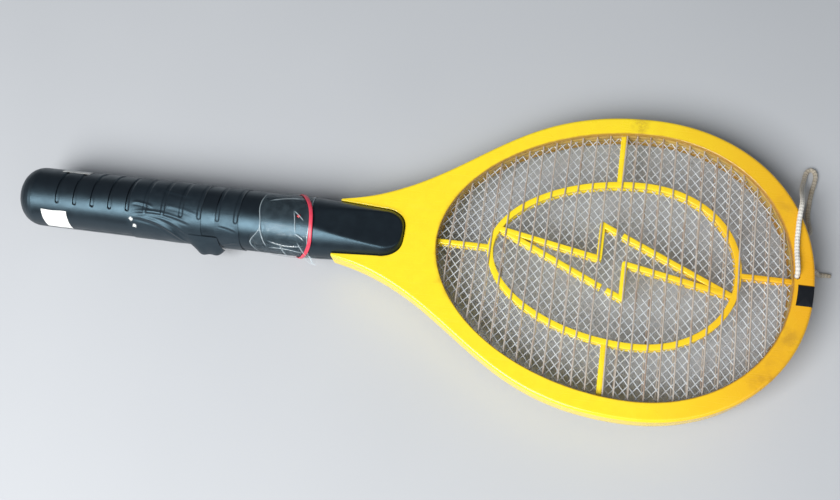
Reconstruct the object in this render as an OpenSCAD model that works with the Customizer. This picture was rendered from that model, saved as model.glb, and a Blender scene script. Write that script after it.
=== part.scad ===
// Battery electric fly swatter: a screw-capped two-cell handle and a three-layer electrified head.
// The origin is the centre of the flat butt face, +X runs along the handle to the head's tip, and
// +Z comes out of the front, the side with the lamp. Z = 0 is the seam between all front and back halves.

/* [Cells] */
// Diameter of one battery cell
cell_d = 33.2; // [24:0.1:40]
// Length of one battery cell, with its nipple
cell_len = 61.4; // [48:0.1:70]
// Room left between the cells and the handle's inside
cell_gap = 1; // [0.8:0.1:2]

/* [Handle] */
// Wall thickness of the handle shells
grip_wall = 2.2; // [2:0.1:3]
// Length from the butt face to where the nose starts to taper
grip_len = 205; // [190:1:260]
// Length of the tapered nose that sits in the yoke
nose_len = 57; // [50:1:70]
// How much the nose narrows on its radius before its rounded end
nose_drop = 2.5; // [1:0.1:4]
// Axial length of the nose's rounded end
nose_round = 14; // [10:1:18]
// How far the flat on top of the nose has sloped down at its tip
nose_fall = 8.4; // [6:0.2:9]
// Number of finger grooves in the front shell
groove_count = 11; // [6:1:12]
// Distance from one groove to the next
groove_pitch = 12.4; // [10:0.1:13]
// Distance from the butt face to the first groove
groove_start = 31; // [28:1:40]
// Width of a groove
groove_w = 2.4; // [1.5:0.1:4]
// Depth of a groove
groove_depth = 0.8; // [0.4:0.1:1.2]

/* [End cap] */
// Length of the cap's rounded outside
cap_len = 12; // [10:0.5:16]
// Radius of the flat on the end of the cap
cap_flat_r = 9; // [6:0.5:12]
// Length of the skirt that screws into the handle
skirt_len = 12; // [10.5:0.5:16]
// Wall of the skirt
skirt_wall = 1.3; // [1.1:0.1:1.6]
// Distance the cap travels in one turn of its thread
thread_pitch = 2.5; // [2:0.5:4]

/* [Head] */
// Width across the rim
head_w = 195.6; // [160:1:240]
// Distance from the rim's widest line to the tip
head_front = 104.5; // [90:1:130]
// Distance from the rim's widest line back to the yoke's prong tips
head_rear = 189.3; // [170:1:230]
// How far the nose reaches into the yoke from the prong tips
yoke_depth = 44; // [38:1:50]
// Thickness of the rim, front to back
rim_t = 16; // [14:0.5:20]
// Width of the rim across its front face at the sides
rim_w = 11.8; // [11:0.1:14]
// Width of the rim across its front face at the tip
rim_tip_w = 12.7; // [11.5:0.1:15]
// Distance from the rim's widest line back to the opening's handle end
open_rear = 123.6; // [105:1:135]
// Wall thickness of the rim channels
rim_wall = 1.6; // [1.4:0.1:2]

/* [Grids] */
// Diameter of the outer grid wires
wire_d = 1; // [0.8:0.1:1.4]
// Distance from one outer grid wire to the next
wire_pitch = 8.4; // [7:0.1:10]
// Number of wires in one outer grid
wire_count = 25; // [21:2:25]
// Height of a guard lattice between its grid and the mesh
guard_h = 3; // [2.5:0.1:4]
// Length of the guard's oval, along the handle
guard_len = 151; // [120:1:170]
// Width of the guard's oval
guard_w = 105; // [80:1:130]
// Width of the guard's bars
bar_w = 3.8; // [3:0.1:5]
// Thickness of one layer of mesh strands
strand_t = 0.3; // [0.2:0.05:0.4]
// Width of a mesh strand
strand_w = 0.6; // [0.4:0.1:1]
// Length of one mesh diamond along the handle
diamond_x = 5.5; // [5:0.1:9]
// Width of one mesh diamond across the handle
diamond_y = 6.6; // [6:0.1:10]

/* [Button] */
// Radius of the push button
button_r = 5.5; // [4:0.1:7]
// How far the button travels
button_travel = 1.2; // [0.6:0.1:1.8]
// Angle of the button round the handle from the front line
button_angle = 55; // [45:1:60]

/* [Hidden] */

$fn = 64;
tiny = 0.01;            // lets a cut run past a face
run_gap = 0.06;         // radial clearance of a running fit
skin_gap = 0.04;        // what is wrapped round the handle clears it by this
seat_gap = 0.15;        // clearance round the nose and the tip insert
hull_fn = 32;

// Handle, from the cell outwards
bore_r = cell_d / 2 + cell_gap;
grip_r = bore_r + grip_wall;
nose_x = grip_len + nose_len;
nose_r = grip_r - nose_drop;
nose_wall = grip_wall;
nose_flat_x = grip_len - 6;              // where the flat on top of the nose starts
skirt_r = bore_r + grip_wall - 1.4;      // the shell is 1.4 thick round the skirt
groove_half_angle = 46;                  // a groove spans this much each side of its centre
groove_lean = 20;                        // and its centre leans this much to the far side

// Cell stack and its contacts
contact_t = 0.6;
cap_floor = 3.2;
contact_r = skirt_r - skirt_wall - 8.6;  // the cap's contact disc
contact_gap = 0.5;
cell_x = cap_len + 0.8;
cells_end = cell_x + 2 * cell_len;
bulkhead_x = cells_end + contact_t;
bulkhead_t = 2;
nipple_r = 4.7;
nipple_len = 1.5;

// Electronics bay
bay_x = bulkhead_x + bulkhead_t + 2;
boss_r = 2.8;
boss_y = bore_r - 3.8;
screw_r = 1.3;
screw_head_r = 2.6;
screw_head_h = 1.8;
screw_sink = 0.3;                        // heads of the frame's screws lie this far in
post_bore_z = 5.8;                       // end of the pilot bores in the rim's front half
screw_xs = [bay_x + 10, grip_len + 8];
board_z = -8.6;
board_t = 1.6;
board_top = board_z + board_t;
post_r = screw_head_r + 1.6;
board_w = 2 * (boss_y - post_r - 0.4);
board_len = 72;
core_len = 18;
core_x = bay_x + 2;
core_w = board_w - 1;
core_h = 8.6;
core_z = board_top + 2.4;
winding_rise = 2.2;
button_x = bay_x + 29.5;
lamp_x = button_x + 26;
lamp_r = 1.5;

// Button stack, measured along its own axis from the handle's axis
button_sink = 0.15;                       // the button's face lies just under the handle's
flange_r = button_r + 1.5;
flange_top = sqrt(pow(bore_r, 2) - pow(flange_r, 2)) - 0.3;
flange_t = 1.2;
stem_r = 2.2;
stem_bottom = flange_top - flange_t - 1.2;
plunger_top = stem_bottom - button_travel - 0.05;
switch_h = 3.4;
switch_w = 6;
switch_base = plunger_top - 1 - switch_h;
switch_board_t = 1.2;

// Head
half_t = rim_t / 2;
prong_x = nose_x - yoke_depth;
head_x = prong_x + head_rear;
tip_x = head_x + head_front;
open_front = head_front - rim_tip_w;
open_w = head_w - 2 * rim_w;
open_x = head_x - open_rear;
front_power = 2.1;
rear_power = 1.93;
prong_angle = 11.2;
side_pull = 93;
prong_pull = 85;
guard_x = head_x - 14.4;
mesh_half = 0.4;                          // half the thickness taken by the mesh
guard_z = mesh_half + 0.1;                // guard's face towards the mesh
wire_z = guard_z + guard_h + wire_d / 2;  // centre plane of a wire grid
lip_z = wire_z + 0.9;                     // underside of the rim's inner lip
band_w = 2.6;                             // border band of a guard, hidden in the rim
bus_w = 1.2;
bus_t = 0.5;
notch_w = 13;                             // tip insert
notch_y = -9.6;
notch_in = 2.9;

// Tongue that joins the handle to the yoke
tongue_w = 23;
tongue_z = half_t - rim_wall - 0.6;
tongue_x = nose_x - 4;
tongue_end = open_x - 3.2;               // clear of the border bands of the guards and grids
yoke_screw_x = nose_x + 9;
yoke_screw_y = 6;
yoke_bore_z = half_t - 0.8;              // end of the yoke screws' pilot bores

// Bolt-shaped bars of the guard, one half; the other half is the same turned half round
bolt_half = [[-71.2, 13.1], [-7.9, 0.9], [-7.6, 23.4]];
bolt_end = -bolt_half[0];
bolt_gap_at = [3.5, 18.3];
bolt_gap = 3.6;

// Hanging cord: laid points along its route, from the front hole over the rim, round its loop,
// through the rim's channel and out to its loose tail
cord_d = 3;
cord_hole_r = 1.9;
cord_front_hole = [501, 2];
cord_side_holes = [[507.2, 32.2, 42], [512, 11, 8]];    // centre, then the angle each is bored at
cord_side_z = -3.3;
cord_points = [
    [501, 2, 5], [501, 2.3, 7.6], [500.8, 4, 9.9], [500.5, 7, 11], [500.2, 11.5, 10.8], [500, 17, 10],
    [500, 24, 9.7], [500.4, 31, 9.7], [500.8, 37, 9.7], [501.4, 42.5, 9.9], [502.3, 47.8, 9.1], [503.4, 52.8, 5.8],
    [504.5, 57.8, 0.4], [505.8, 63.2, -5.8], [507.2, 68.6, -11.4], [508.8, 73.6, -15.6], [510, 77.8, -17.8],
    [510.8, 81.2, -18.7], [512, 84.2, -18.8], [514.2, 85.6, -18.8], [516.4, 84.4, -18.8], [517.2, 81.2, -18.8],
    [516.6, 76.6, -18.8], [515.4, 71.6, -18.8], [514.4, 66, -18.8], [513.6, 60, -18.7], [513, 54, -18.2],
    [512.8, 48.6, -16.6], [512.6, 43.8, -13.2], [512.2, 39.6, -9.2], [511, 36, -5.6], [508.2, 33.2, -3.6],
    [505, 30.4, -3.2], [502.6, 27.6, -3], [501.8, 24, -3], [502.6, 20, -3], [503.8, 16.2, -3], [505.6, 13, -3],
    [508.2, 11.2, -3], [511, 10.8, -3.2], [514, 11.2, -4.6], [516, 12, -8], [517.4, 12.8, -12.2], [518.8, 13.4, -16],
    [520.6, 13.9, -18.1], [523, 14.2, -18.8], [525.4, 14.3, -18.8], [527.6, 14.2, -18.8]
];

// ---------- outlines ----------

// A signed power, for rounder or squarer ovals
function spow(v, p) = sign(v) * pow(abs(v), 2 / p);
// One point of an oval with half length a, half width b and power p
function oval_point(t, a, b, p) = [a * spow(cos(t), p), b * spow(sin(t), p)];
// A point on a cubic curve with end points a, d and control points b, c
function cubic(a, b, c, d, s) =
    pow(1 - s, 3) * a + 3 * pow(1 - s, 2) * s * b + 3 * (1 - s) * s * s * c + pow(s, 3) * d;

// The head's outside: an oval tip and two flared sides that run in to the prong tips
function side_point(s) = cubic(
    [0, head_w / 2], [-side_pull, head_w / 2],
    [-head_rear + prong_pull * cos(prong_angle), grip_r + prong_pull * sin(prong_angle)],
    [-head_rear, grip_r], s);
function head_outline(n = 36) = concat(
    [for (i = [0 : n - 1]) oval_point(-90 + 180 * i / n, head_front, head_w / 2, front_power)],
    [for (i = [0 : n]) side_point(i / n)],
    [for (i = [n : -1 : 1]) [side_point(i / n)[0], -side_point(i / n)[1]]]
);
// The opening that the grids fill
function open_outline(n = 36) = concat(
    [for (i = [0 : n - 1]) oval_point(-90 + 180 * i / n, open_front, open_w / 2, front_power)],
    [for (i = [0 : n - 1]) oval_point(90 + 180 * i / n, open_rear, open_w / 2, rear_power)]
);
// The guard's ring, grown or shrunk: an egg like the rim's, widest on the same line
function ring_outline(grow, n = 36) = let(rear = head_x - guard_x + guard_len / 2, front = guard_len - rear) concat(
    [for (i = [0 : n - 1]) oval_point(-90 + 180 * i / n, front + grow, guard_w / 2 + grow, front_power)],
    [for (i = [0 : n - 1]) oval_point(90 + 180 * i / n, rear + grow, guard_w / 2 + grow, rear_power)]
);
// Half the opening's width at a distance x from the rim's widest line
function open_half(x) = let(a = x > 0 ? open_front : open_rear, p = x > 0 ? front_power : rear_power)
    open_w / 2 * pow(max(0, 1 - pow(abs(x) / a, p)), 1 / p);

module head_2d(grow = 0) { translate([head_x, 0]) offset(delta = grow) polygon(head_outline()); }
module open_2d(grow = 0) { translate([head_x, 0]) offset(delta = grow) polygon(open_outline()); }

// A tube of radius r swept along laid points by functions, with round-number sides
function unit(v) = v / norm(v);
function tangent(p, i) = unit(p[min(i + 1, len(p) - 1)] - p[max(i - 1, 0)]);
function tube_side(t) = unit(cross(abs(t[2]) < 0.9 ? [0, 0, 1] : [0, 1, 0], t));
module swept_tube(p, r, sides = 8) {
    n = len(p);
    rings = [for (i = [0 : n - 1]) let(t = tangent(p, i), u = tube_side(t), v = cross(t, u))
        for (k = [0 : sides - 1]) p[i] + r * (cos(360 * k / sides) * u + sin(360 * k / sides) * v)];
    walls = [for (i = [0 : n - 2], k = [0 : sides - 1]) let(a = i * sides + k, b = i * sides + (k + 1) % sides)
        each [[a, a + sides, b], [b, a + sides, b + sides]]];
    caps = [[for (k = [0 : sides - 1]) k], [for (k = [sides - 1 : -1 : 0]) (n - 1) * sides + k]];
    polyhedron(rings, concat(walls, caps));
}
// Points of a coil spring along +Z that narrows from r0 to r1
function coil(r0, r1, h, turns, steps = 12) = [for (i = [0 : turns * steps]) let(s = i / (turns * steps))
    [(r0 + (r1 - r0) * s) * cos(360 * i / steps), (r0 + (r1 - r0) * s) * sin(360 * i / steps), h * s]];

// ---------- shared shapes ----------

// Turns a shape drawn along +Z so that it runs along +X
module along_x(x = 0) { translate([x, 0, 0]) rotate([0, 90, 0]) children(); }
module rod_x(x0, x1, r) { along_x(x0) cylinder(h = x1 - x0, r = r); }
module ring_x(x0, x1, r_out, r_in) {
    difference() { rod_x(x0, x1, r_out); rod_x(x0 - tiny, x1 + tiny, r_in); }
}
// Places a shape on the button's axis, with +Z outwards along it
module on_button_axis() { translate([button_x, 0, 0]) rotate([button_angle, 0, 0]) children(); }
// Keeps the front (+1) or back (-1) half of a shape
module half(side) {
    intersection() {
        children();
        translate([-10, -150, side > 0 ? 0 : -60]) cube([600, 300, 60]);
    }
}

// Solid of the handle's outside, grown by a clearance, from the cap to the nose tip
module handle_solid(grow = 0) {
    r = grip_r + grow;
    difference() {
        along_x() rotate_extrude() polygon(concat(
            [[0, cap_len], [r, cap_len], [r, grip_len], [nose_r + grow, nose_x - nose_round]],
            [for (a = [10 : 10 : 80]) [
                (nose_r + grow - 8) * cos(a) + 8,
                nose_x - nose_round + (nose_round + grow) * sin(a)]],
            [[8, nose_x + grow], [0, nose_x + grow]]
        ));
        above_flat(grip_r + grow);
    }
}
// What lies above the sloping flat on top of the nose, when the flat starts at a height
module above_flat(start_z) {
    run = nose_x + 10 - nose_flat_x;
    rotate([90, 0, 0]) linear_extrude(4 * grip_r, center = true) polygon([
        [nose_flat_x, start_z + 0.2], [nose_flat_x + run, start_z + 0.2 - nose_fall * run / nose_len],
        [nose_flat_x + run, 2 * grip_r], [nose_flat_x, 2 * grip_r]]);
}
// The room inside the handle
module handle_room() {
    end_x = nose_x - nose_wall;
    difference() {
        along_x() rotate_extrude() polygon([
            [0, cap_len - 1], [skirt_r, cap_len - 1], [skirt_r, cap_len + skirt_len + 0.5],
            [bore_r, cap_len + skirt_len + 0.5], [bore_r, grip_len],
            [nose_r - nose_wall, nose_x - nose_round - 1], [10, end_x], [0, end_x]
        ]);
        above_flat(grip_r - nose_wall);
    }
}
// The flat tongue on the nose, solid
module tongue(grow = 0) {
    translate([tongue_x, -tongue_w / 2 - grow, -tongue_z - grow])
        cube([tongue_end - tongue_x + grow, tongue_w + 2 * grow, 2 * (tongue_z + grow)]);
}
module tongue_room() {
    translate([tongue_x - 4, -tongue_w / 2 + 2, -tongue_z + 2])
        cube([tongue_end - tongue_x + 9, tongue_w - 4, 2 * (tongue_z - 2)]);
}
// One finger groove: a ring cut kept to the front by a wedge
module groove(x) {
    intersection() {
        ring_x(x - groove_w / 2, x + groove_w / 2, grip_r + 2, grip_r - groove_depth);
        rotate([-groove_lean, 0, 0]) translate([x - groove_w, 0, 0]) rotate([90, 0, 90])
            linear_extrude(2 * groove_w) polygon([
                [0, 0], [2 * grip_r * sin(-groove_half_angle), 2 * grip_r * cos(groove_half_angle)],
                [0, 3 * grip_r], [2 * grip_r * sin(groove_half_angle), 2 * grip_r * cos(groove_half_angle)]]);
    }
}
// Screw posts of the handle
module posts(r, z0, h) {
    for (x = screw_xs, s = [-1, 1]) translate([x, s * boss_y, z0]) cylinder(h = h, r = r);
}

// ---------- handle ----------

module end_cap() {
    color([0.10, 0.11, 0.12]) difference() {
        union() {
            along_x() rotate_extrude() polygon(concat(
                [[0, 0], [cap_flat_r, 0]],
                [for (a = [10 : 10 : 80]) [
                    cap_flat_r + (grip_r - cap_flat_r) * sin(a), cap_len - cap_len * cos(a)]],
                [[grip_r, cap_len], [0, cap_len]]));
            rod_x(cap_len - 1, cap_len + skirt_len, skirt_r - run_gap);
        }
        rod_x(cap_floor, cap_len + skirt_len + tiny, contact_r + contact_gap);
        rod_x(cap_len - 1, cap_len + skirt_len + tiny, skirt_r - run_gap - skirt_wall);
    }
}

module cap_contact_disc() {
    color([0.75, 0.74, 0.68]) rod_x(cap_floor + 0.1, cap_floor + 0.1 + contact_t, contact_r);
}

module cap_contact_spring() {
    base = cap_floor + 0.1 + contact_t;
    color([0.8, 0.8, 0.78]) along_x(base + 0.5)
        swept_tube(coil(contact_r - 1.5, contact_r - 4.1, cell_x - base - 1.1, 3, 14), 0.5, 6);
}

module handle_front() {
    color([0.11, 0.12, 0.13]) difference() {
        union() {
            half(1) difference() {
                union() {
                    difference() { handle_solid(); handle_room(); }
                    tongue();
                }
                tongue_room();
            }
            intersection() {
                union() {
                    posts(boss_r, 0, grip_r);
                    translate([bulkhead_x, -grip_r, 0]) cube([bulkhead_t, 2 * grip_r, grip_r]);
                }
                rod_x(bay_x - 10, grip_len + 15, bore_r + 0.3);
            }
        }
        posts(screw_r, -tiny, 8);
        for (i = [0 : groove_count - 1]) groove(groove_start + i * groove_pitch);
        on_button_axis() translate([0, 0, 5]) cylinder(h = grip_r, r = button_r + run_gap);
        translate([lamp_x, 0, 5]) cylinder(h = grip_r, r = lamp_r + 0.05);
        for (s = [-1, 1]) translate([yoke_screw_x, s * yoke_screw_y, -tiny]) cylinder(h = half_t, r = screw_r + 0.2);
    }
}

module handle_back() {
    color([0.10, 0.11, 0.12]) difference() {
        union() {
            half(-1) difference() {
                union() {
                    difference() { handle_solid(); handle_room(); }
                    tongue();
                }
                tongue_room();
            }
            intersection() {
                union() {
                    posts(post_r, -grip_r, grip_r);
                    translate([bulkhead_x, -grip_r, -grip_r]) cube([bulkhead_t, 2 * grip_r, grip_r]);
                }
                rod_x(bay_x - 10, grip_len + 15, bore_r + 0.3);
            }
        }
        posts(screw_r + 0.2, -grip_r, grip_r + tiny);
        posts(screw_head_r + 0.2, -grip_r, grip_r - 4);
        for (s = [-1, 1]) translate([yoke_screw_x, s * yoke_screw_y, -half_t]) cylinder(h = half_t + tiny, r = screw_r + 0.2);
    }
}

module cell(x) {
    color([0.78, 0.62, 0.25]) {
        rod_x(x, x + cell_len - nipple_len, cell_d / 2);
        rod_x(x + cell_len - nipple_len - 0.5, x + cell_len, nipple_r);
    }
}
module battery_rear() { cell(cell_x); }
module battery_front() { cell(cell_x + cell_len); }

module positive_contact() {
    color([0.78, 0.68, 0.35]) rod_x(cells_end, bulkhead_x, nipple_r + 3);
}

// Flat strip that carries the cap's contact back to the board, along the inside of the back shell
module return_strip() {
    color([0.78, 0.68, 0.35])
        translate([cap_len + skirt_len + 1, -2, -bore_r + 0.15]) cube([cells_end - cap_len - skirt_len - 2, 4, 0.4]);
}

module push_button() {
    color([0.16, 0.16, 0.17]) intersection() {
        on_button_axis() {
            translate([0, 0, flange_top - 0.5]) cylinder(h = grip_r, r = button_r);
            translate([0, 0, flange_top - flange_t]) cylinder(h = flange_t, r = flange_r);
            translate([0, 0, stem_bottom]) cylinder(h = flange_top - stem_bottom, r = stem_r);
        }
        rod_x(button_x - 2 * flange_r, button_x + 2 * flange_r, grip_r - button_sink);
    }
}

module button_spring() {
    base = switch_base;
    color([0.8, 0.8, 0.78]) on_button_axis() translate([0, 0, base + 0.35])
        swept_tube(coil(5.4, 5.4, flange_top - flange_t - base - 0.7, 4), 0.3, 6);
}

module tact_switch() {
    color([0.25, 0.25, 0.26]) on_button_axis() {
        translate([-switch_w / 2, -switch_w / 2, switch_base]) cube([switch_w, switch_w, switch_h]);
        translate([0, 0, switch_base + switch_h - 0.5]) cylinder(h = 1.5, r = 1.7);
    }
}

module switch_board() {
    color([0.16, 0.40, 0.22]) on_button_axis()
        translate([-7.5, -7, switch_base - switch_board_t]) cube([15, 14, switch_board_t]);
}

module indicator_lamp() {
    color([0.85, 0.10, 0.08]) {
        translate([lamp_x, 0, grip_r - 5.2]) cylinder(h = 5.2 - lamp_r, r = lamp_r);
        translate([lamp_x, 0, grip_r - lamp_r]) sphere(r = lamp_r);
        translate([lamp_x, 0, bore_r - 2.9]) cylinder(h = 0.8, r = lamp_r + 0.4);
        for (s = [-1, 1]) translate([lamp_x + s * 0.9 - 0.25, -0.25, board_top])
            cube([0.5, 0.5, bore_r - 2.8 - board_top]);
    }
}

module circuit_board() {
    color([0.16, 0.40, 0.22]) translate([bay_x, -board_w / 2, board_z]) cube([board_len, board_w, board_t]);
}

// Ferrite frame with a middle leg, and the winding round that leg
leg_w = 5;
window_w = (core_w - leg_w) / 2 - 3;
module transformer_core() {
    color([0.22, 0.22, 0.23]) translate([core_x, -core_w / 2, core_z]) difference() {
        cube([core_len, core_w, core_h]);
        for (y = [3, core_w - 3 - window_w]) translate([3, y, -tiny]) cube([core_len - 6, window_w, core_h + 1]);
    }
}
module transformer_winding() {
    side = window_w - 0.3;
    color([0.72, 0.40, 0.18]) translate([core_x + 3.2, -leg_w / 2 - side, core_z - winding_rise]) difference() {
        cube([core_len - 6.4, leg_w + 2 * side, core_h + 2 * winding_rise]);
        translate([-1, side - 0.1, winding_rise - 0.1]) cube([core_len, leg_w + 0.2, core_h + 0.2]);
    }
}

module storage_capacitor() {
    color([0.62, 0.22, 0.12]) translate([button_x + 9, -board_w / 2 + 1, board_top])
        cube([14, board_w / 2 - 1.2, 8]);
}
module film_capacitors() {
    color([0.70, 0.30, 0.14]) for (i = [0 : 2])
        translate([button_x - 7 + i * 5, 1.5, board_top]) cube([3.6, board_w / 2 - 2.2, 6]);
}
module rectifier_diodes() {
    color([0.12, 0.12, 0.12]) for (i = [0 : 2])
        translate([button_x + 28, (i - 1) * board_w / 4 - 1.5, board_top + 1.4]) rod_x(0, 5, 1.35);
}
module drive_transistor() {
    color([0.10, 0.10, 0.10]) translate([button_x + 10, board_w / 2 - 5.2, board_top]) cube([4.6, 3.6, 5]);
}
module resistors() {
    color([0.80, 0.70, 0.50]) for (i = [0 : 2])
        translate([button_x + 17.5, board_w / 2 - 5.5 + i * 2.2, board_top + 1]) rod_x(0, 6, 0.9);
}

// Wires inside the handle
lead_r = 0.8;
module battery_leads() {
    color([0.75, 0.08, 0.06]) swept_tube([
        [bulkhead_x + bulkhead_t + 0.6, -4, 3], [bay_x + 0.2, -5.5, 1], [bay_x - 0.4, -7, -3], [bay_x, -7.4, board_top + 1.4],
        [bay_x + 1.1, -7.4, board_top + 0.9]], lead_r);
    color([0.10, 0.10, 0.10]) swept_tube([
        [bulkhead_x + bulkhead_t + 0.6, 4, -10], [bay_x - 0.4, 5, -6], [bay_x, 6, board_top + 1.2],
        [bay_x + 1.1, 6.4, board_top + 0.9]], lead_r);
}
module head_lead(y, end_y, end_z) {
    swept_tube([
        [bay_x + board_len - 3, y, board_top + 1], [bay_x + board_len + 1, y, board_top + 1.6],
        [bay_x + board_len + 8, y, -4.4], [nose_x - 22, y, -1.6], [nose_x - 10, y, 0], [nose_x + 4, y, 0],
        [tongue_end - 3, y, 0], [open_x - 5.6, (y + end_y) / 2, end_z / 2], [open_x - 3.4, end_y, end_z]], lead_r);
}
module grid_lead() { color([0.10, 0.10, 0.10]) head_lead(2.4, 3, 0); }
module mesh_lead() { color([0.75, 0.08, 0.06]) head_lead(-2.4, -3, 0); }

// ---------- fasteners ----------

// A self-tapping screw along +Z: head at the bottom, then its shank
module screw(shank) {
    difference() {
        union() {
            cylinder(h = screw_head_h, r = screw_head_r);
            cylinder(h = screw_head_h + shank, r = screw_r);
        }
        for (a = [0, 90]) rotate([0, 0, a]) translate([-1.6, -0.3, -tiny]) cube([3.2, 0.6, 0.9]);
    }
}
module handle_screws() {
    color([0.6, 0.6, 0.6]) for (x = screw_xs, s = [-1, 1])
        translate([x, s * boss_y, -4 - screw_head_h]) screw(11);
}
module yoke_screws() {
    color([0.6, 0.6, 0.6]) for (s = [-1, 1])
        translate([yoke_screw_x, s * yoke_screw_y, -half_t + screw_sink])
            screw(half_t - screw_sink - screw_head_h + yoke_bore_z - 0.2);
}
// Screws spread round the rim, by the angle of each round the opening
rim_screw_angles = [28, 64, 100, 132, 228, 260, 296, 332];
function rim_screw_at(t) = let(p = oval_point(t, (abs(t - 180) > 90 ? open_front : open_rear) + 6.2,
    open_w / 2 + 5.9, abs(t - 180) > 90 ? front_power : rear_power)) [head_x + p[0], p[1]];
module rim_screws() {
    color([0.6, 0.6, 0.6]) for (t = rim_screw_angles)
        translate([each rim_screw_at(t), -half_t + screw_sink])
            screw(half_t - screw_sink - screw_head_h + post_bore_z - 0.2);
}

// ---------- head ----------

// One half of the rim and yoke: a channel with an inner lip, screw posts and the nose's seat
module frame_half(side) {
    difference() {
        half(side) difference() {
            union() {
                difference() {
                    translate([0, 0, -half_t]) linear_extrude(rim_t) difference() { head_2d(); open_2d(); }
                    translate([0, 0, -half_t + rim_wall]) linear_extrude(rim_t - 2 * rim_wall)
                        difference() { head_2d(-rim_wall); open_2d(band_w + 0.1); }
                    translate([0, 0, -lip_z]) linear_extrude(2 * lip_z)
                        difference() { open_2d(band_w + 0.2); open_2d(-tiny); }
                }
                for (t = rim_screw_angles) translate([each rim_screw_at(t), -half_t]) cylinder(h = rim_t, r = boss_r);
                for (s = [-1, 1]) translate([yoke_screw_x, s * yoke_screw_y, side > 0 ? tongue_z + 0.2 : -half_t])
                    cylinder(h = half_t - tongue_z - 0.2, r = boss_r + 0.6);
                translate([nose_x + 0.2, -tongue_w / 2 - 3, -half_t + 0.5]) difference() {
                    cube([tongue_end - nose_x - 1, tongue_w + 6, rim_t - 1]);
                    translate([-1, 3 - 0.2, -1]) cube([tongue_end - nose_x + 1, tongue_w + 0.4, rim_t + 1]);
                }
            }
            handle_solid(seat_gap);
            translate([0, 0, -half_t]) insert_notch(seat_gap, rim_t);
        }
        for (t = rim_screw_angles) screw_way(rim_screw_at(t), side, post_bore_z);
        for (s = [-1, 1]) screw_way([yoke_screw_x, s * yoke_screw_y], side, yoke_bore_z);
        if (side > 0) translate([each cord_front_hole, 4]) cylinder(h = 10, r = cord_hole_r);
        if (side < 0) for (p = cord_side_holes)
            translate([p[0], p[1], cord_side_z]) rotate([0, 90, p[2]]) cylinder(h = 9, r = cord_hole_r + 0.3, center = true);
    }
}
// The way through the back half and the pilot bore in the front half for one screw
module screw_way(at, side, bore_z) {
    translate([each at, 0]) {
        if (side < 0) {
            translate([0, 0, -half_t - tiny]) cylinder(h = screw_head_h + screw_sink + tiny, r = screw_head_r + 0.1);
            translate([0, 0, -half_t]) cylinder(h = half_t + 1, r = screw_r + 0.2);
        } else {
            translate([0, 0, -tiny]) cylinder(h = bore_z + tiny, r = screw_r);
        }
    }
}
module frame_front() { color([0.98, 0.82, 0.12]) frame_half(1); }
module frame_back() { color([0.96, 0.78, 0.10]) frame_half(-1); }

// The block that closes the rim at its tip
module insert_notch(grow, h) {
    linear_extrude(h) intersection() {
        difference() { head_2d(grow > 0 ? 1 : -0.7); open_2d(notch_in - grow); }
        translate([head_x, notch_y - notch_w / 2 - grow]) square([head_front + 2, notch_w + 2 * grow]);
    }
}
module tip_insert() {
    color([0.08, 0.08, 0.09]) translate([0, 0, -half_t + 0.4]) insert_notch(0, rim_t - 0.8);
}

// A bar of the guard between two points
module bar(a, b, w) {
    hull() { translate(a) circle(d = w, $fn = 16); translate(b) circle(d = w, $fn = 16); }
}
module bolt_bars() {
    difference() {
        for (turn = [0, 180]) rotate(turn) {
            bar(bolt_half[0], bolt_half[1], bar_w - 0.4);
            bar(bolt_half[1], bolt_half[2], bar_w - 0.4);
            bar(bolt_half[2], bolt_end, bar_w - 0.4);
        }
        for (turn = [0, 180]) rotate(turn) translate(bolt_gap_at) rotate(-23) square([bolt_gap, 8], center = true);
    }
}
module guard_2d() {
    offset(delta = 0) {
        difference() { open_2d(band_w); open_2d(); }
        translate([head_x, 0]) difference() {
            polygon(ring_outline(bar_w / 2));
            polygon(ring_outline(-bar_w / 2));
        }
        translate([guard_x, 0]) {
            bolt_bars();
            for (s = [-1, 1]) {
                translate([s > 0 ? guard_len / 2 : open_x - guard_x - 1, -bar_w / 2 + 0.3])
                    square([s > 0 ? head_x + open_front - guard_x - guard_len / 2 + 1
                        : guard_x - open_x - guard_len / 2 + 1, bar_w - 0.6]);
                translate([-bar_w / 2 + 0.3, s > 0 ? guard_w / 2 : -open_half(guard_x - head_x) - 1])
                    square([bar_w - 0.6, open_half(guard_x - head_x) - guard_w / 2 + 1]);
            }
        }
    }
}
module guard_front() { color([0.98, 0.84, 0.16]) translate([0, 0, guard_z]) linear_extrude(guard_h) guard_2d(); }
module guard_back() { color([0.95, 0.78, 0.12]) translate([0, 0, -guard_z - guard_h]) linear_extrude(guard_h) guard_2d(); }

// One outer grid: straight wires across the head, joined by a strip hidden under the rim's lip
module wire_grid(side) {
    bus_z = wire_d / 2 - 0.1;
    translate([0, 0, side * wire_z]) {
        for (i = [0 : wire_count - 1]) {
            x = (i - (wire_count - 1) / 2) * wire_pitch + guard_x;
            y = open_half(x - head_x) + band_w - 0.6;
            translate([x, 0, 0]) rotate([90, 0, 0]) cylinder(h = 2 * y, r = wire_d / 2, center = true, $fn = 24);
        }
        translate([0, 0, side > 0 ? bus_z - 0.15 : -bus_z + 0.15 - bus_t]) linear_extrude(bus_t)
            difference() { open_2d(0.5 + bus_w); open_2d(0.5); }
    }
}
module wire_grid_front() { color([0.72, 0.69, 0.62]) wire_grid(1); }
module wire_grid_back() { color([0.66, 0.63, 0.58]) wire_grid(-1); }

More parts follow.
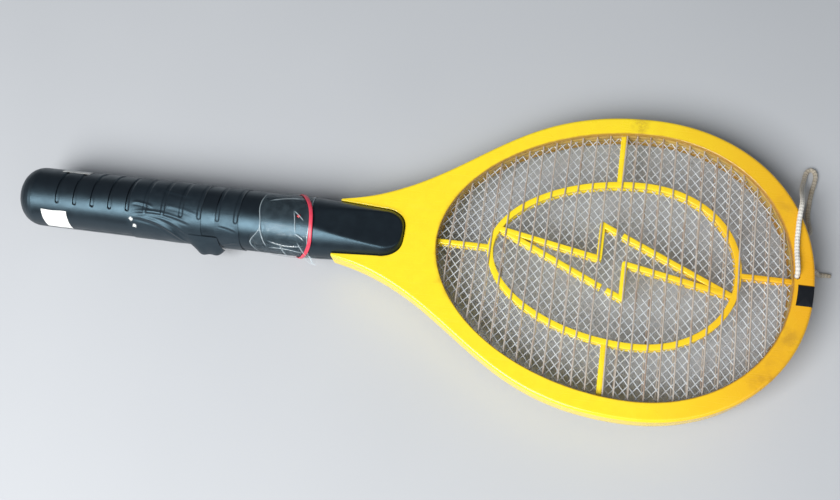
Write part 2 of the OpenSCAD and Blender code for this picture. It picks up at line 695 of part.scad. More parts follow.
// The centre mesh: two crossed layers of strands held in a border band
module strands(lean) {
    angle = lean * atan(diamond_y / diamond_x);
    count = ceil((open_front + open_rear + open_w * diamond_x / diamond_y) / diamond_x / 2);
    reach = head_w;
    offset(delta = 0) intersection() {
        open_2d(1.2);
        translate([guard_x, 0]) for (i = [-count : count])
            translate([(i + 0.5) * diamond_x, 0]) rotate(angle) square([2 * reach, strand_w], center = true);
    }
}
module centre_mesh() {
    color([0.52, 0.56, 0.60]) {
        translate([0, 0, 0.05]) linear_extrude(strand_t) strands(-1);
        translate([0, 0, -0.05 - strand_t]) linear_extrude(strand_t) strands(1);
        translate([0, 0, -mesh_half + 0.02]) linear_extrude(2 * mesh_half - 0.04)
            difference() { open_2d(band_w - 0.4); open_2d(0.5); }
    }
}

// ---------- what has been added on the outside ----------

skin_r = grip_r + skin_gap;
skin_t = 0.3;
sticker_t = 0.15;
tape_x = 81;
tape_len = 74;
wrap_x = 162;
wrap_len = 42;
// A strip of skin round part of the handle between two angles from the front line
module skin_patch(x0, x1, t, from, to) {
    intersection() {
        ring_x(x0, x1, skin_r + t, skin_r);
        rotate([-(from + to) / 2, 0, 0]) translate([x0, 0, 0]) rotate([90, 0, 90]) linear_extrude(x1 - x0)
            polygon([[0, 0], [-3 * grip_r * tan((to - from) / 2), 3 * grip_r], [3 * grip_r * tan((to - from) / 2), 3 * grip_r]]);
    }
}
module black_tape() {
    color([0.13, 0.14, 0.15]) union() {
        ring_x(tape_x, tape_x + tape_len, skin_r + skin_t, skin_r);
        translate([tape_x + 47, -skin_r - 6, -4]) cube([14, 6.2, 0.5]);
    }
}
module clear_wrap() {
    color([0.75, 0.82, 0.85, 0.35]) ring_x(wrap_x, wrap_x + wrap_len, skin_r + skin_t, skin_r);
}
// A flat band stretched round the handle, further along it on the near side than on the far side
band_x = 193;
band_swing = 12.2;
band_angle = -25;
band_t = 0.8;
band_press = 0.85;                       // share of its thickness it loses under the handle
strip_w = 2.4;
module rubber_band() {
    n = 48;
    sides = 8;
    thick = [for (i = [0 : n - 1]) band_t / 2 * (1 - band_press * pow(max(0, -cos(360 * i / n)), 4))];
    path = [for (i = [0 : n - 1]) let(a = 360 * i / n, r = skin_r + skin_t + 0.1 + thick[i])
        [band_x + band_swing * cos(a - band_angle), r * sin(a), r * cos(a)]];
    rings = [for (i = [0 : n - 1]) let(
            t = unit(path[(i + 1) % n] - path[(i + n - 1) % n]), u = unit(cross([1, 0, 0], t)), v = cross(t, u))
        for (k = [0 : sides - 1])
            path[i] + thick[i] * cos(360 * k / sides) * u + strip_w / 2 * sin(360 * k / sides) * v];
    walls = [for (i = [0 : n - 1], k = [0 : sides - 1]) let(j = (i + 1) % n, m = (k + 1) % sides)
        each [[i * sides + k, j * sides + k, i * sides + m], [i * sides + m, j * sides + k, j * sides + m]]];
    color([0.85, 0.12, 0.18]) polyhedron(rings, walls);
}
module sticker_near() { color([0.92, 0.93, 0.92]) skin_patch(19.5, 37.5, sticker_t, -92, -44); }
module sticker_far() { color([0.92, 0.93, 0.92]) skin_patch(28, 46, sticker_t, 56, 84); }

module lanyard() { color([0.80, 0.77, 0.70]) swept_tube(cord_points, cord_d / 2); }

end_cap();
cap_contact_disc();
cap_contact_spring();
handle_front();
handle_back();
battery_rear();
battery_front();
positive_contact();
return_strip();
push_button();
button_spring();
tact_switch();
switch_board();
indicator_lamp();
circuit_board();
transformer_core();
transformer_winding();
storage_capacitor();
film_capacitors();
rectifier_diodes();
drive_transistor();
resistors();
battery_leads();
grid_lead();
mesh_lead();
handle_screws();
yoke_screws();
rim_screws();
frame_front();
frame_back();
guard_front();
guard_back();
wire_grid_front();
wire_grid_back();
centre_mesh();
tip_insert();
black_tape();
clear_wrap();
rubber_band();
sticker_near();
sticker_far();
lanyard();
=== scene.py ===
"""An electric fly swatter lying on a pale floor: its looks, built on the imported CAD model.

Every shape is worked out in millimetres in the CAD frame, +X from the butt of the handle to the tip of the
head and +Z out of the front, and becomes metres when its mesh is made.
"""

import math

import bmesh
import bpy
import numpy as np
from mathutils import Matrix


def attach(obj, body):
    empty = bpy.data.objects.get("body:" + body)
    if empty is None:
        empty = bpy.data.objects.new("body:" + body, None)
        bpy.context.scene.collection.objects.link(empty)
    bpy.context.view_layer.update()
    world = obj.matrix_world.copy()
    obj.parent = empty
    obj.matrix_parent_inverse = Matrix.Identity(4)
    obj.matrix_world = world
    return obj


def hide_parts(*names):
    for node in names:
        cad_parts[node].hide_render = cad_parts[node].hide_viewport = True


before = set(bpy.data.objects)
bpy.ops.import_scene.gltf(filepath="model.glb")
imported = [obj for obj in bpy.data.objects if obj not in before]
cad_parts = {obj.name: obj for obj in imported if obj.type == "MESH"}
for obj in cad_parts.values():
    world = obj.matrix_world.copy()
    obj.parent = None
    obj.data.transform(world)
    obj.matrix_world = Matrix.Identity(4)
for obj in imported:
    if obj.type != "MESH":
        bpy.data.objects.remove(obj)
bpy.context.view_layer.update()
MM = 0.001

# ---------- camera and floor ----------

FLOOR_Z = -20.4


def turn(axis, degrees):
    """Rotation matrix about one axis."""
    return np.array(Matrix.Rotation(math.radians(degrees), 3, axis))


def make_camera():
    """Looks down on the front from the near side: the world is turned about Z, then Y, then X into the
    view."""
    view = turn("X", -20.038) @ turn("Y", -6.096) @ turn("Z", -9.285)
    lens = bpy.data.cameras.new("camera")
    lens.sensor_width, lens.lens = 36.0, 39.614
    lens.clip_start, lens.clip_end = 0.02, 20
    camera = bpy.data.objects.new("camera", lens)
    place = np.eye(4)
    place[:3, :3] = view.T
    place[:3, 3] = (0.3636, -0.1964, 0.5506)
    camera.matrix_world = Matrix(place.tolist())
    bpy.context.scene.collection.objects.link(camera)
    bpy.context.scene.camera = camera


make_camera()

# ---------- mesh building ----------


def grid_faces(rows, cols, wrap_rows=False, wrap_cols=False):
    """The faces between neighbouring points of a rows x cols grid, with each corner's share of the way
    along the rows and the columns as its UV."""
    row_span, col_span = (rows if wrap_rows else rows - 1), (cols if wrap_cols else cols - 1)
    r, c = np.meshgrid(np.arange(row_span), np.arange(col_span), indexing="ij")
    ri = np.stack([r, r, r + 1, r + 1], -1).reshape(-1, 4)
    ci = np.stack([c, c + 1, c + 1, c], -1).reshape(-1, 4)
    return (ri % rows) * cols + ci % cols, np.stack([ri / row_span, ci / col_span], -1)


def surface(points, wrap_rows=False, wrap_cols=False, caps=False):
    """A closed part from a grid of points. Caps close the first and last row with a fan about the row's
    middle."""
    rows, cols = points.shape[:2]
    quads, uv = grid_faces(rows, cols, wrap_rows, wrap_cols)
    flat = points.reshape(-1, 3)
    tris, tri_uv = np.zeros((0, 3), int), np.zeros((0, 3, 2))
    if caps:
        ring = np.arange(cols)
        after = (ring + 1) % cols
        last = (rows - 1) * cols
        flat = np.concatenate([flat, points[:1].mean(1), points[-1:].mean(1)])
        tris = np.concatenate([
            np.stack([after, ring, np.full(cols, rows * cols)], -1),
            np.stack([ring + last, after + last, np.full(cols, rows * cols + 1)], -1)])
        tri_uv = np.zeros((2 * cols, 3, 2))
        tri_uv[cols:, :, 0] = 1
        tri_uv[:, :, 1] = np.tile(ring / cols, 2)[:, None]
    return facing_out((flat, quads, tris, uv, tri_uv))


def shell(outer, inner, wrap_cols=False):
    """A thin closed solid between two grids of the same size: one skin, the other with its faces turned
    round, and a strip along each open edge."""
    rows, cols = outer.shape[:2]
    count = rows * cols
    quads, uv = grid_faces(rows, cols, wrap_cols=wrap_cols)
    index = np.arange(count).reshape(rows, cols)
    after = np.roll(index, -1, 1) if wrap_cols else index[:, 1:]
    before = index if wrap_cols else index[:, :-1]
    edges = [np.stack([after[0], before[0]], -1), np.stack([before[-1], after[-1]], -1)]
    if not wrap_cols:
        edges += [np.stack([index[:-1, 0], index[1:, 0]], -1), np.stack([index[1:, -1], index[:-1, -1]], -1)]
    e = np.concatenate(edges)
    strip = np.stack([e[:, 0], e[:, 1], e[:, 1] + count, e[:, 0] + count], -1)
    down, over = np.arange(rows) / (rows - 1), np.arange(cols) / (cols - 1)
    place = np.stack([np.repeat(down, cols), np.tile(over, rows)], -1)
    return facing_out((
        np.concatenate([outer.reshape(-1, 3), inner.reshape(-1, 3)]),
        np.concatenate([quads, quads[:, ::-1] + count, strip]), np.zeros((0, 3), int),
        np.concatenate([uv, uv[:, ::-1], place[strip % count]]), np.zeros((0, 3, 2))))


def facing_out(part):
    """The part with every face turned round if the volume that its faces enclose comes out negative."""
    flat, quads, tris, uv, tri_uv = part
    middle = flat.mean(0)
    t = np.concatenate([quads[:, [0, 1, 2]], quads[:, [0, 2, 3]], tris])
    p = flat[t] - middle
    if np.einsum("ij,ij->i", p[:, 0], np.cross(p[:, 1], p[:, 2])).sum() < 0:
        quads, tris, uv, tri_uv = quads[:, ::-1], tris[:, ::-1], uv[:, ::-1], tri_uv[:, ::-1]
    return flat, quads, tris, uv, tri_uv


def mesh_of(name, parts, weld=False, crease=40, marks=None):
    """One mesh of several parts, in metres, smooth except along edges sharper than crease degrees. Marks
    are named values, one for each point, that a finish may read."""
    starts = np.cumsum([0] + [len(p[0]) for p in parts])[:-1]
    flat = np.concatenate([p[0] for p in parts]) * MM
    quads = np.concatenate([p[1] + s for p, s in zip(parts, starts)])
    tris = np.concatenate([p[2] + s for p, s in zip(parts, starts)])
    uv = np.concatenate([np.concatenate([p[3] for p in parts]).reshape(-1, 2),
                         np.concatenate([p[4] for p in parts]).reshape(-1, 2)])
    mesh = bpy.data.meshes.new(name)
    mesh.vertices.add(len(flat))
    mesh.vertices.foreach_set("co", flat.astype(np.float32).ravel())
    mesh.loops.add(4 * len(quads) + 3 * len(tris))
    mesh.loops.foreach_set("vertex_index", np.concatenate([quads.ravel(), tris.ravel()]).astype(np.int32))
    mesh.polygons.add(len(quads) + len(tris))
    mesh.polygons.foreach_set("loop_start", np.concatenate([
        np.arange(len(quads)) * 4, 4 * len(quads) + np.arange(len(tris)) * 3]).astype(np.int32))
    mesh.update(calc_edges=True)
    mesh.uv_layers.new(name="along").data.foreach_set("uv", uv.astype(np.float32).ravel())
    for mark, values in (marks or {}).items():
        made = mesh.attributes.new(mark, "FLOAT", "POINT")
        made.data.foreach_set("value", np.asarray(values, np.float32).ravel())
    if weld:
        work = bmesh.new()
        work.from_mesh(mesh)
        bmesh.ops.remove_doubles(work, verts=work.verts, dist=2e-6)
        work.to_mesh(mesh)
        work.free()
    mesh.validate()
    mesh.polygons.foreach_set("use_smooth", np.ones(len(mesh.polygons), bool))
    mesh.set_sharp_from_angle(angle=math.radians(crease))
    return mesh


def piece(name, parts, finish, replaces, weld=False, crease=40, cut_by=None, marks=None):
    """A piece on the swatter body, with its finish and the CAD nodes that it stands for.
    cut_by holds closed parts that are taken out of it. A small block far away from everything goes with
    them: the solver then finds the outside of the cut at a clean corner, and gives the same result each
    time."""
    made = bpy.data.objects.new(name, mesh_of(name, parts, weld, crease, marks))
    bpy.context.scene.collection.objects.link(made)
    if cut_by:
        far_block = lathe([300.0, 310.0], [5.0, 5.0], 12, (900.0, 150.0, 0.0), "Z")
        tool = bpy.data.objects.new(name + "_cutter", mesh_of("cutter", cut_by + [far_block], True))
        bpy.context.scene.collection.objects.link(tool)
        cut = made.modifiers.new("cut", "BOOLEAN")
        cut.operation, cut.object, cut.solver = "DIFFERENCE", tool, "EXACT"
        bpy.context.view_layer.update()
        graph = bpy.context.evaluated_depsgraph_get()
        done = bpy.data.meshes.new_from_object(made.evaluated_get(graph))
        made.modifiers.clear()
        made.data = done
        bpy.data.objects.remove(tool)
        done.set_sharp_from_angle(angle=math.radians(crease))
    made.data.materials.clear()
    made.data.materials.append(finish)
    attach(made, "swatter")
    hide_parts(*replaces)
    return made


def lathe(x, r, sides, at=(0.0, 0.0, 0.0), toward="X"):
    """A profile of places x and radii r turned about an axis."""
    a = np.linspace(0, 2 * np.pi, sides, endpoint=False)
    grid = np.stack([
        np.repeat(np.asarray(x, float)[:, None], sides, 1),
        np.outer(r, np.cos(a)), np.outer(r, np.sin(a))], -1)
    if toward == "Z":
        grid = grid[..., [1, 2, 0]]
    return surface(grid + np.asarray(at, float), wrap_cols=True, caps=True)


def moved(part, turned, shift):
    """A part turned by a matrix and shifted."""
    return (part[0] @ turned.T + shift, *part[1:])


def unit(v):
    """Vectors made one long."""
    return v / np.linalg.norm(v, axis=-1)[..., None]


def heading(path, closed=False):
    """The direction of a path at each of its points, one long."""
    return unit(np.roll(path, -1, 0) - np.roll(path, 1, 0) if closed else np.gradient(path, axis=0))


def across(path, closed=False):
    """The direction to the left of a flat path at each of its points, one long."""
    t = heading(path, closed)
    return np.stack([-t[:, 1], t[:, 0]], -1)


def smooth_step(v, low, high):
    """0 below low, 1 above high, and a smooth S between them."""
    t = np.clip((v - low) / (high - low), 0, 1)
    return t * t * (3 - 2 * t)


def ripple(x, y, seed, scale, octaves=3):
    """Smooth uneven ground between about -1 and 1: sine waves of random heading and phase, finer ones
    weaker."""
    r = np.random.default_rng(seed)
    total, weight = np.zeros(np.broadcast(x, y).shape), 0.0
    for octave in range(octaves):
        for _ in range(4):
            a, phase = r.uniform(0, 2 * np.pi, 2)
            k = 2 ** octave * r.uniform(0.7, 1.4) / scale
            total = total + 0.5 ** octave * np.sin(k * (x * np.cos(a) + y * np.sin(a)) + phase)
        weight += 2 * 0.5 ** octave
    return total / weight


def tube(path, wide, deep, sides):
    """A rounded section carried along a path: its half width lies across the path, its half depth along Z."""
    t = heading(path)
    u = unit(np.cross((0.0, 0.0, 1.0), t))
    v = np.cross(t, u)
    a = np.linspace(0, 2 * np.pi, sides, endpoint=False)[None, :, None]
    grid = path[:, None] + wide * np.cos(a) * u[:, None] + deep * np.sin(a) * v[:, None]
    return surface(grid, wrap_cols=True, caps=True)


def along_curve(points, count):
    """Evenly spaced points on a smooth curve through the given points, by Catmull-Rom pieces."""
    p = np.asarray(points, float)
    q = np.concatenate([[2 * p[0] - p[1]], p, [2 * p[-1] - p[-2]]])
    s = np.linspace(0, 1, 24, endpoint=False)[:, None, None]
    a, b, c, d = q[:-3], q[1:-2], q[2:-1], q[3:]
    square, cube = 2 * a - 5 * b + 4 * c - d, 3 * b - a - 3 * c + d
    fine = 0.5 * (2 * b + (c - a) * s + square * s ** 2 + cube * s ** 3)
    fine = np.concatenate([fine.transpose(1, 0, 2).reshape(-1, 3), p[-1:]])
    run = np.concatenate([[0], np.cumsum(np.linalg.norm(np.diff(fine, axis=0), axis=1))])
    want = np.linspace(0, run[-1], count)
    return np.stack([np.interp(want, run, fine[:, k]) for k in range(3)], -1)


# ---------- finishes ----------


class Finish:
    """A material as it is built: its nodes, its surface shader and the Object coordinates of the piece."""

    def __init__(self, name):
        self.made = bpy.data.materials.new(name)
        self.made.use_nodes = True
        self.tree = self.made.node_tree
        self.tree.nodes.clear()
        self.shader = self.node("ShaderNodeBsdfPrincipled")
        self.node("ShaderNodeOutputMaterial", {"Surface": self.shader.outputs[0]})
        self.where = self.node("ShaderNodeTexCoord").outputs["Object"]

    def fill(self, node, inputs):
        """Sets a node's inputs to a value, or joins them to another node's socket."""
        for key, value in inputs.items():
            if isinstance(value, bpy.types.NodeSocket):
                self.tree.links.new(value, node.inputs[key])
            else:
                node.inputs[key].default_value = value

    def node(self, kind, inputs=None, **settings):
        """A node with its settings and inputs."""
        node = self.tree.nodes.new(kind)
        for key, value in settings.items():
            setattr(node, key, value)
        self.fill(node, inputs or {})
        return node

    def surface(self, inputs):
        """Fills in the shader, and gives the finished material."""
        self.fill(self.shader, inputs)
        return self.made

    def along(self):
        """The piece's own UV."""
        return self.node("ShaderNodeUVMap", uv_map="along").outputs[0]

    def apart(self, vector):
        """The three numbers of a vector."""
        return self.node("ShaderNodeSeparateXYZ", {0: vector}).outputs

    def grain(self, scale, detail=4.0, rough=0.55, where=None):
        """Noise of a given size."""
        return self.node("ShaderNodeTexNoise", {
            "Vector": where or self.where, "Scale": scale, "Detail": detail, "Roughness": rough}).outputs[0]

    def ramp(self, value, stops):
        """Colours or greys picked by a value, from (place, colour) stops."""
        node = self.node("ShaderNodeValToRGB", {0: value})
        for i, (place, colour) in enumerate(stops):
            stop = node.color_ramp.elements[i] if i < 2 else node.color_ramp.elements.new(place)
            stop.position = place
            stop.color = (*colour, 1) if hasattr(colour, "__len__") else (colour, colour, colour, 1)
        return node.outputs[0]

    def patches(self, scale, low, high, detail=4.0):
        """A grey that wanders between two values."""
        return self.ramp(self.grain(scale, detail), [(0.3, low), (0.7, high)])

    def mix(self, share, a, b, blend="MIX"):
        """Two colours mixed by a share."""
        a, b = (c if isinstance(c, bpy.types.NodeSocket) else (*c, 1) for c in (a, b))
        node = self.node("ShaderNodeMix", data_type="RGBA", blend_type=blend, inputs={0: share, 6: a, 7: b})
        return node.outputs[2]

    def maths(self, what, a, b=0.0, clamp=False):
        """One sum of two values."""
        return self.node("ShaderNodeMath", {0: a, 1: b}, operation=what, use_clamp=clamp).outputs[0]

    def plus(self, a, b, clamp=False):
        """a + b"""
        return self.maths("ADD", a, b, clamp)

    def times(self, a, b, clamp=False):
        """a * b"""
        return self.maths("MULTIPLY", a, b, clamp)

    def swing(self, value, amount):
        """A value's distance from one half, times an amount."""
        return self.times(self.maths("SUBTRACT", value, 0.5), amount)

    def bump(self, height, depth):
        """A bump of a height in metres."""
        return self.node("ShaderNodeBump", {"Height": height, "Distance": depth, "Strength": 1.0}).outputs[0]

    def stretched(self, scale, turned=0.0):
        """Object coordinates turned about Z and scaled."""
        return self.node("ShaderNodeMapping", {
            "Vector": self.where, "Rotation": (0, 0, turned), "Scale": scale}).outputs[0]

    def spot(self, centre, radius, wobble):
        """1 at a place, fading to 0 at a radius, with an uneven edge."""
        apart = self.node("ShaderNodeVectorMath", {0: self.where, 1: centre}, operation="DISTANCE")
        away = self.plus(apart.outputs["Value"], self.swing(wobble, radius * 1.6))
        return self.maths("SUBTRACT", 1.0, self.maths("DIVIDE", away, radius), clamp=True)


# A painted reflection: a blue tint for the sheen of black pieces, standing in for the sky that they reflect.
PAINTED_SKY_SHEEN = (0.48, 0.79, 1.0, 1.0)


def plastic(name, low, high, rough, scale, bump_scale=900, bump_depth=0.00003, sky=False):
    """Moulded plastic: a slow drift of colour, uneven gloss and a fine moulded texture. Black pieces get a
    painted blue reflection of the sky tinted into their sheen."""
    f = Finish(name)
    # Painted reflection: black pieces get a blue sky tint in their sheen.
    sheen = {"Specular Tint": PAINTED_SKY_SHEEN, "Specular IOR Level": 0.75} if sky else {}
    return f.surface({
        "Base Color": f.mix(f.grain(scale), low, high),
        "Roughness": f.patches(scale * 3.1, *rough),
        "Normal": f.bump(f.grain(bump_scale, 2), bump_depth), **sheen})


def metal(name, low, high, rough, scale, metallic, tarnish=None, tarnish_scale=90):
    """Drawn or plated metal, with tarnish in patches."""
    f = Finish(name)
    colour = f.mix(f.grain(scale), low, high)
    if tarnish:
        colour = f.mix(f.ramp(f.grain(tarnish_scale), [(0.5, 0.0), (0.72, 0.75)]), colour, tarnish)
    return f.surface({
        "Base Color": colour,
        "Roughness": f.patches(scale * 1.7, *rough),
        "Normal": f.bump(f.grain(scale * 4), 0.00002),
        "Metallic": metallic})


SMUDGES = (
    ((0.4885, -0.064, 0.008), 0.016, 0.55), ((0.4975, -0.038, 0.008), 0.014, 0.45),
    ((0.402, 0.092, 0.008), 0.008, 0.75), ((0.4925, 0.045, 0.008), 0.010, 0.25),
    ((0.300, -0.030, 0.008), 0.012, 0.16))


def yellow_plastic(name, grimed_and_shaded):
    """Glossy yellow plastic, darker and more orange towards the tip, partly in tone and partly as painted
    shade away from the light, with fine hairline scratches. Where asked, the piece is also darkened brown at
    its inner edge by grime together with painted shade, and has smudges on the rim."""
    f = Finish(name)
    # Partly an orange tone, partly painted shade away from the light: the colour darkens and turns orange
    # from the head's middle to the tip.
    from_tip = f.times(f.maths("SUBTRACT", f.apart(f.where)[0], 0.40), 8.5)
    tipward_shade_and_orange = f.plus(from_tip, f.swing(f.grain(18), 0.5), clamp=True)
    colour = f.mix(tipward_shade_and_orange, (0.96, 0.735, 0.024), (0.80, 0.39, 0.014))
    fine = f.grain(160, 5, 0.65)
    colour = f.mix(f.ramp(fine, [(0.35, 0.0), (0.75, 0.16)]), colour, (0.84, 0.42, 0.016))
    if grimed_and_shaded:
        # Grime together with painted shade: the colour darkens to brown across the inner edge and down the
        # inner wall.
        inward = f.plus(f.apart(f.along())[0], f.swing(fine, 0.10))
        edge = f.ramp(inward, [(0.60, 0.0), (0.655, 0.45), (0.70, 0.85)])
        colour = f.mix(edge, colour, (0.36, 0.17, 0.025))
        wobble = f.grain(90, 5, 0.7)
        speckle = f.ramp(fine, [(0.38, 0.1), (0.62, 1.0)])
        for centre, radius, strength in SMUDGES:
            mark = f.times(f.times(f.spot(centre, radius, wobble), strength), speckle)
            colour = f.mix(mark, colour, (0.33, 0.17, 0.03))
    scratch = f.ramp(f.grain(1.0, 3, where=f.stretched((40, 900, 200), 0.6)), [(0.60, 0.0), (0.66, 1.0)])
    return f.surface({
        "Base Color": colour,
        "Roughness": f.plus(f.patches(55, 0.20, 0.34, 5), f.times(scratch, 0.12)),
        "Normal": f.bump(f.plus(f.grain(260, 2), f.times(scratch, -0.2)), 0.00003),
        "Coat Weight": 0.35, "Coat Roughness": 0.08})


RIM_YELLOW = yellow_plastic("rim_yellow", True)
GUARD_YELLOW = yellow_plastic("guard_yellow", False)
# For the guard's border under the rim's lip: yellow mottled with dark brown, grime together with painted
# shade.
GRIMY_SHADED_YELLOW = plastic("grimy_shaded_yellow", (0.16, 0.09, 0.03), (0.74, 0.50, 0.11), (0.35, 0.6), 170, 900, 0.00006)
SHELL_BLACK = plastic("shell_black", (0.005, 0.006, 0.008), (0.009, 0.011, 0.014), (0.30, 0.42),
                      45, 1500, 0.00002, True)
CAP_BLACK = plastic("cap_black", (0.006, 0.007, 0.009), (0.011, 0.013, 0.016), (0.34, 0.46),
                    60, 1200, 0.00002, True)
BUTTON_BLACK = plastic("button_black", (0.008, 0.008, 0.009), (0.014, 0.014, 0.016), (0.4, 0.55),
                       90, 1400, sky=True)
INSERT_BLACK = plastic("insert_black", (0.005, 0.006, 0.008), (0.010, 0.012, 0.016), (0.30, 0.42), 120, 1500)
WIRE = metal("grid_wire", (0.62, 0.54, 0.46), (0.80, 0.74, 0.67), (0.32, 0.5),
             300, 0.5, (0.42, 0.25, 0.16), 70)
MESH = metal("mesh_metal", (0.62, 0.67, 0.72), (0.82, 0.86, 0.89), (0.35, 0.5),
             300, 0.30, (0.40, 0.34, 0.30), 50)

# ---------- the hanging cord ----------

CORD_D = 3.0
BRAID_TURNS, BRAID_STARTS = 50, 4
CORD_POINTS = [
    (501, 2, 5), (501, 2.3, 7.6), (500.8, 4, 9.9), (500.5, 7, 11), (500.2, 11.5, 10.8), (500, 17, 10),
    (500, 24, 9.7), (500.4, 31, 9.7), (500.8, 37, 9.7), (501.4, 42.5, 9.9), (502.3, 47.8, 9.1),
    (503.4, 52.8, 5.8), (504.5, 57.8, 0.4), (505.8, 63.2, -5.8), (507.2, 68.6, -11.4),
    (508.8, 73.6, -15.6), (510, 77.8, -17.8), (510.8, 81.2, -18.7), (512, 84.2, -18.8),
    (514.2, 85.6, -18.8), (516.4, 84.4, -18.8), (517.2, 81.2, -18.8), (516.6, 76.6, -18.8),
    (515.4, 71.6, -18.8), (514.4, 66, -18.8), (513.6, 60, -18.7), (513, 54, -18.2), (512.8, 48.6, -16.6),
    (512.6, 43.8, -13.2), (512.2, 39.6, -9.2), (511, 36, -5.6), (508.2, 33.2, -3.6), (505, 30.4, -3.2),
    (502.6, 27.6, -3), (501.8, 24, -3), (502.6, 20, -3), (503.8, 16.2, -3), (505.6, 13, -3),
    (508.2, 11.2, -3), (511, 10.8, -3.2), (514, 11.2, -4.6), (516, 12, -8), (517.4, 12.8, -12.2),
    (518.8, 13.4, -16), (520.6, 13.9, -18.1), (523, 14.2, -18.8), (525.4, 14.3, -18.8),
    (527.6, 14.2, -18.8),
]


def cord_finish():
    """Braided cotton: pale where it lies over the rim, greyer and browner along the loop, with painted shade
    in the gaps between the crossing yarns. The pattern follows the piece's own UV, along the cord and round
    it."""
    f = Finish("cord_braid")
    u, v, _ = f.apart(f.along())
    along = f.times(u, 2 * math.pi * BRAID_TURNS)
    around = f.times(v, 2 * math.pi * BRAID_STARTS)
    one_way = f.maths("SINE", f.plus(along, around))
    yarn = f.times(one_way, f.maths("SINE", f.maths("SUBTRACT", along, around)))
    # Painted shade: the colour darkens in the gaps between the crossing yarns.
    shade = f.ramp(f.plus(f.times(yarn, 0.5), 0.5), [(0.1, 0.58), (0.55, 1.0)])
    # Darker and browner from where the cord drops off the rim to the floor, and a little at the hole.
    darker_along_loop = f.ramp(u, [(0.0, 0.30), (0.10, 0.0), (0.22, 0.12), (0.30, 0.60), (0.42, 0.9)])
    darker_along_loop = f.plus(darker_along_loop, f.swing(f.grain(260, 4), 0.9), clamp=True)
    colour = f.mix(darker_along_loop, (0.86, 0.84, 0.78), (0.42, 0.36, 0.27))
    fibre = f.plus(f.times(yarn, 0.5), f.times(f.grain(2600, 3), 0.6))
    return f.surface({
        "Base Color": f.mix(1.0, colour, shade, "MULTIPLY"),
        "Roughness": 0.9, "Sheen Weight": 0.3,
        "Normal": f.bump(fibre, 0.00016)})


def hanging_cord():
    """A braid carried along its route: the radius swells where the two sets of spiral yarns cross, and the
    last few millimetres flare and fray."""
    path = along_curve(CORD_POINTS, 701)
    sides = 20
    t = heading(path)
    u = np.zeros_like(t)
    side = np.cross([1.0, 0.0, 0.0], t[0])
    for i in range(len(t)):
        side = unit(side - t[i] * np.dot(side, t[i]))
        u[i] = side
    v = np.cross(t, u)
    a = np.linspace(0, 2 * np.pi, sides, endpoint=False)
    along = np.linspace(0, 2 * np.pi * BRAID_TURNS, len(path))[:, None]
    weave = np.sin(along + BRAID_STARTS * a) * np.sin(along - BRAID_STARTS * a)
    end = smooth_step(np.linspace(0, 1, len(path)), 0.985, 1.0)[:, None]
    fray = 1 - 0.25 * end * (1 + np.sin(5 * a + 1.0))
    radius = CORD_D / 2 * (0.95 + 0.05 * weave) * fray
    outward = np.cos(a)[None, :, None] * u[:, None] + np.sin(a)[None, :, None] * v[:, None]
    grid = path[:, None] + radius[..., None] * outward
    cord = piece("hanging_cord", [surface(grid, wrap_cols=True, caps=True)], cord_finish(),
                 ["lanyard"], crease=180)


hanging_cord()

# ---------- outlines of the head ----------

GRIP_R, GRIP_LEN = 19.8, 205.0
NOSE_X, NOSE_R, NOSE_ROUND, NOSE_FALL = 262.0, 17.3, 14.0, 8.4
NOSE_FLAT_X, NOSE_FLAT_LEN = 199.0, 57.0
NOSE_END_X, NOSE_END_R = NOSE_X - NOSE_ROUND, 8.0
HEAD_X, HEAD_FRONT, HEAD_REAR, HALF_W = 407.3, 104.5, 189.3, 97.8
OPEN_FRONT, OPEN_REAR, OPEN_HALF, OPEN_X = 91.8, 123.6, 86.0, 283.7
FRONT_POWER, REAR_POWER = 2.1, 1.93
HALF_T, LIP_Z, BAND_W = 8.0, 4.9, 2.6
PRONG_ANGLE, PRONG_PULL, WIDE_PULL = 11.2, 85.0, 93.0
GUARD_X, GUARD_LEN, GUARD_W, BAR_W = 392.9, 151.0, 105.0, 3.8
GUARD_Z, GUARD_H = 0.5, 3.0
WIRE_Z, WIRE_D, WIRE_PITCH, WIRE_COUNT = 4.0, 1.0, 8.4, 25
DIAMOND_X, DIAMOND_Y = 5.5, 6.6
TIP_Y, TIP_HALF = -9.6, 6.5
CORD_HOLE = (501.0, 2.0, 0.0)
BACK_HOLES = ((507.2, 32.2, 42), (512, 11, 8))
BUTTON_X, BUTTON_ANGLE, BUTTON_R, LAMP_X, LAMP_R = 169.7, 55.0, 5.5, 195.7, 1.5


def oval(degrees, front, rear, half):
    """Points of the egg: each half is an oval whose cosine and sine are raised to 2 over its power."""
    t = np.radians(degrees)
    c, s = np.cos(t), np.sin(t)
    power = np.where(c >= 0, FRONT_POWER, REAR_POWER)
    reach = np.where(c >= 0, front, rear)
    return np.stack([HEAD_X + reach * np.sign(c) * np.abs(c) ** (2 / power),
                     half * np.sign(s) * np.abs(s) ** (2 / power)], -1)


def opening(degrees, grow=0.0):
    """The rim's opening, grown by a distance."""
    return oval(degrees, OPEN_FRONT + grow, OPEN_REAR + grow, OPEN_HALF + grow)


def oval_reach(off, reach, half, power):
    """How far half an oval reaches along its axis at a distance off it."""
    return reach * (1 - (np.abs(off) / half) ** power) ** (1 / power)


def in_opening(x, y, grow):
    """Whether points lie in the opening grown by a distance."""
    reach = np.where(x >= HEAD_X, OPEN_FRONT, OPEN_REAR) + grow
    power = np.where(x >= HEAD_X, FRONT_POWER, REAR_POWER)
    return (np.abs(x - HEAD_X) / reach) ** power + (np.abs(y) / (OPEN_HALF + grow)) ** power < 1


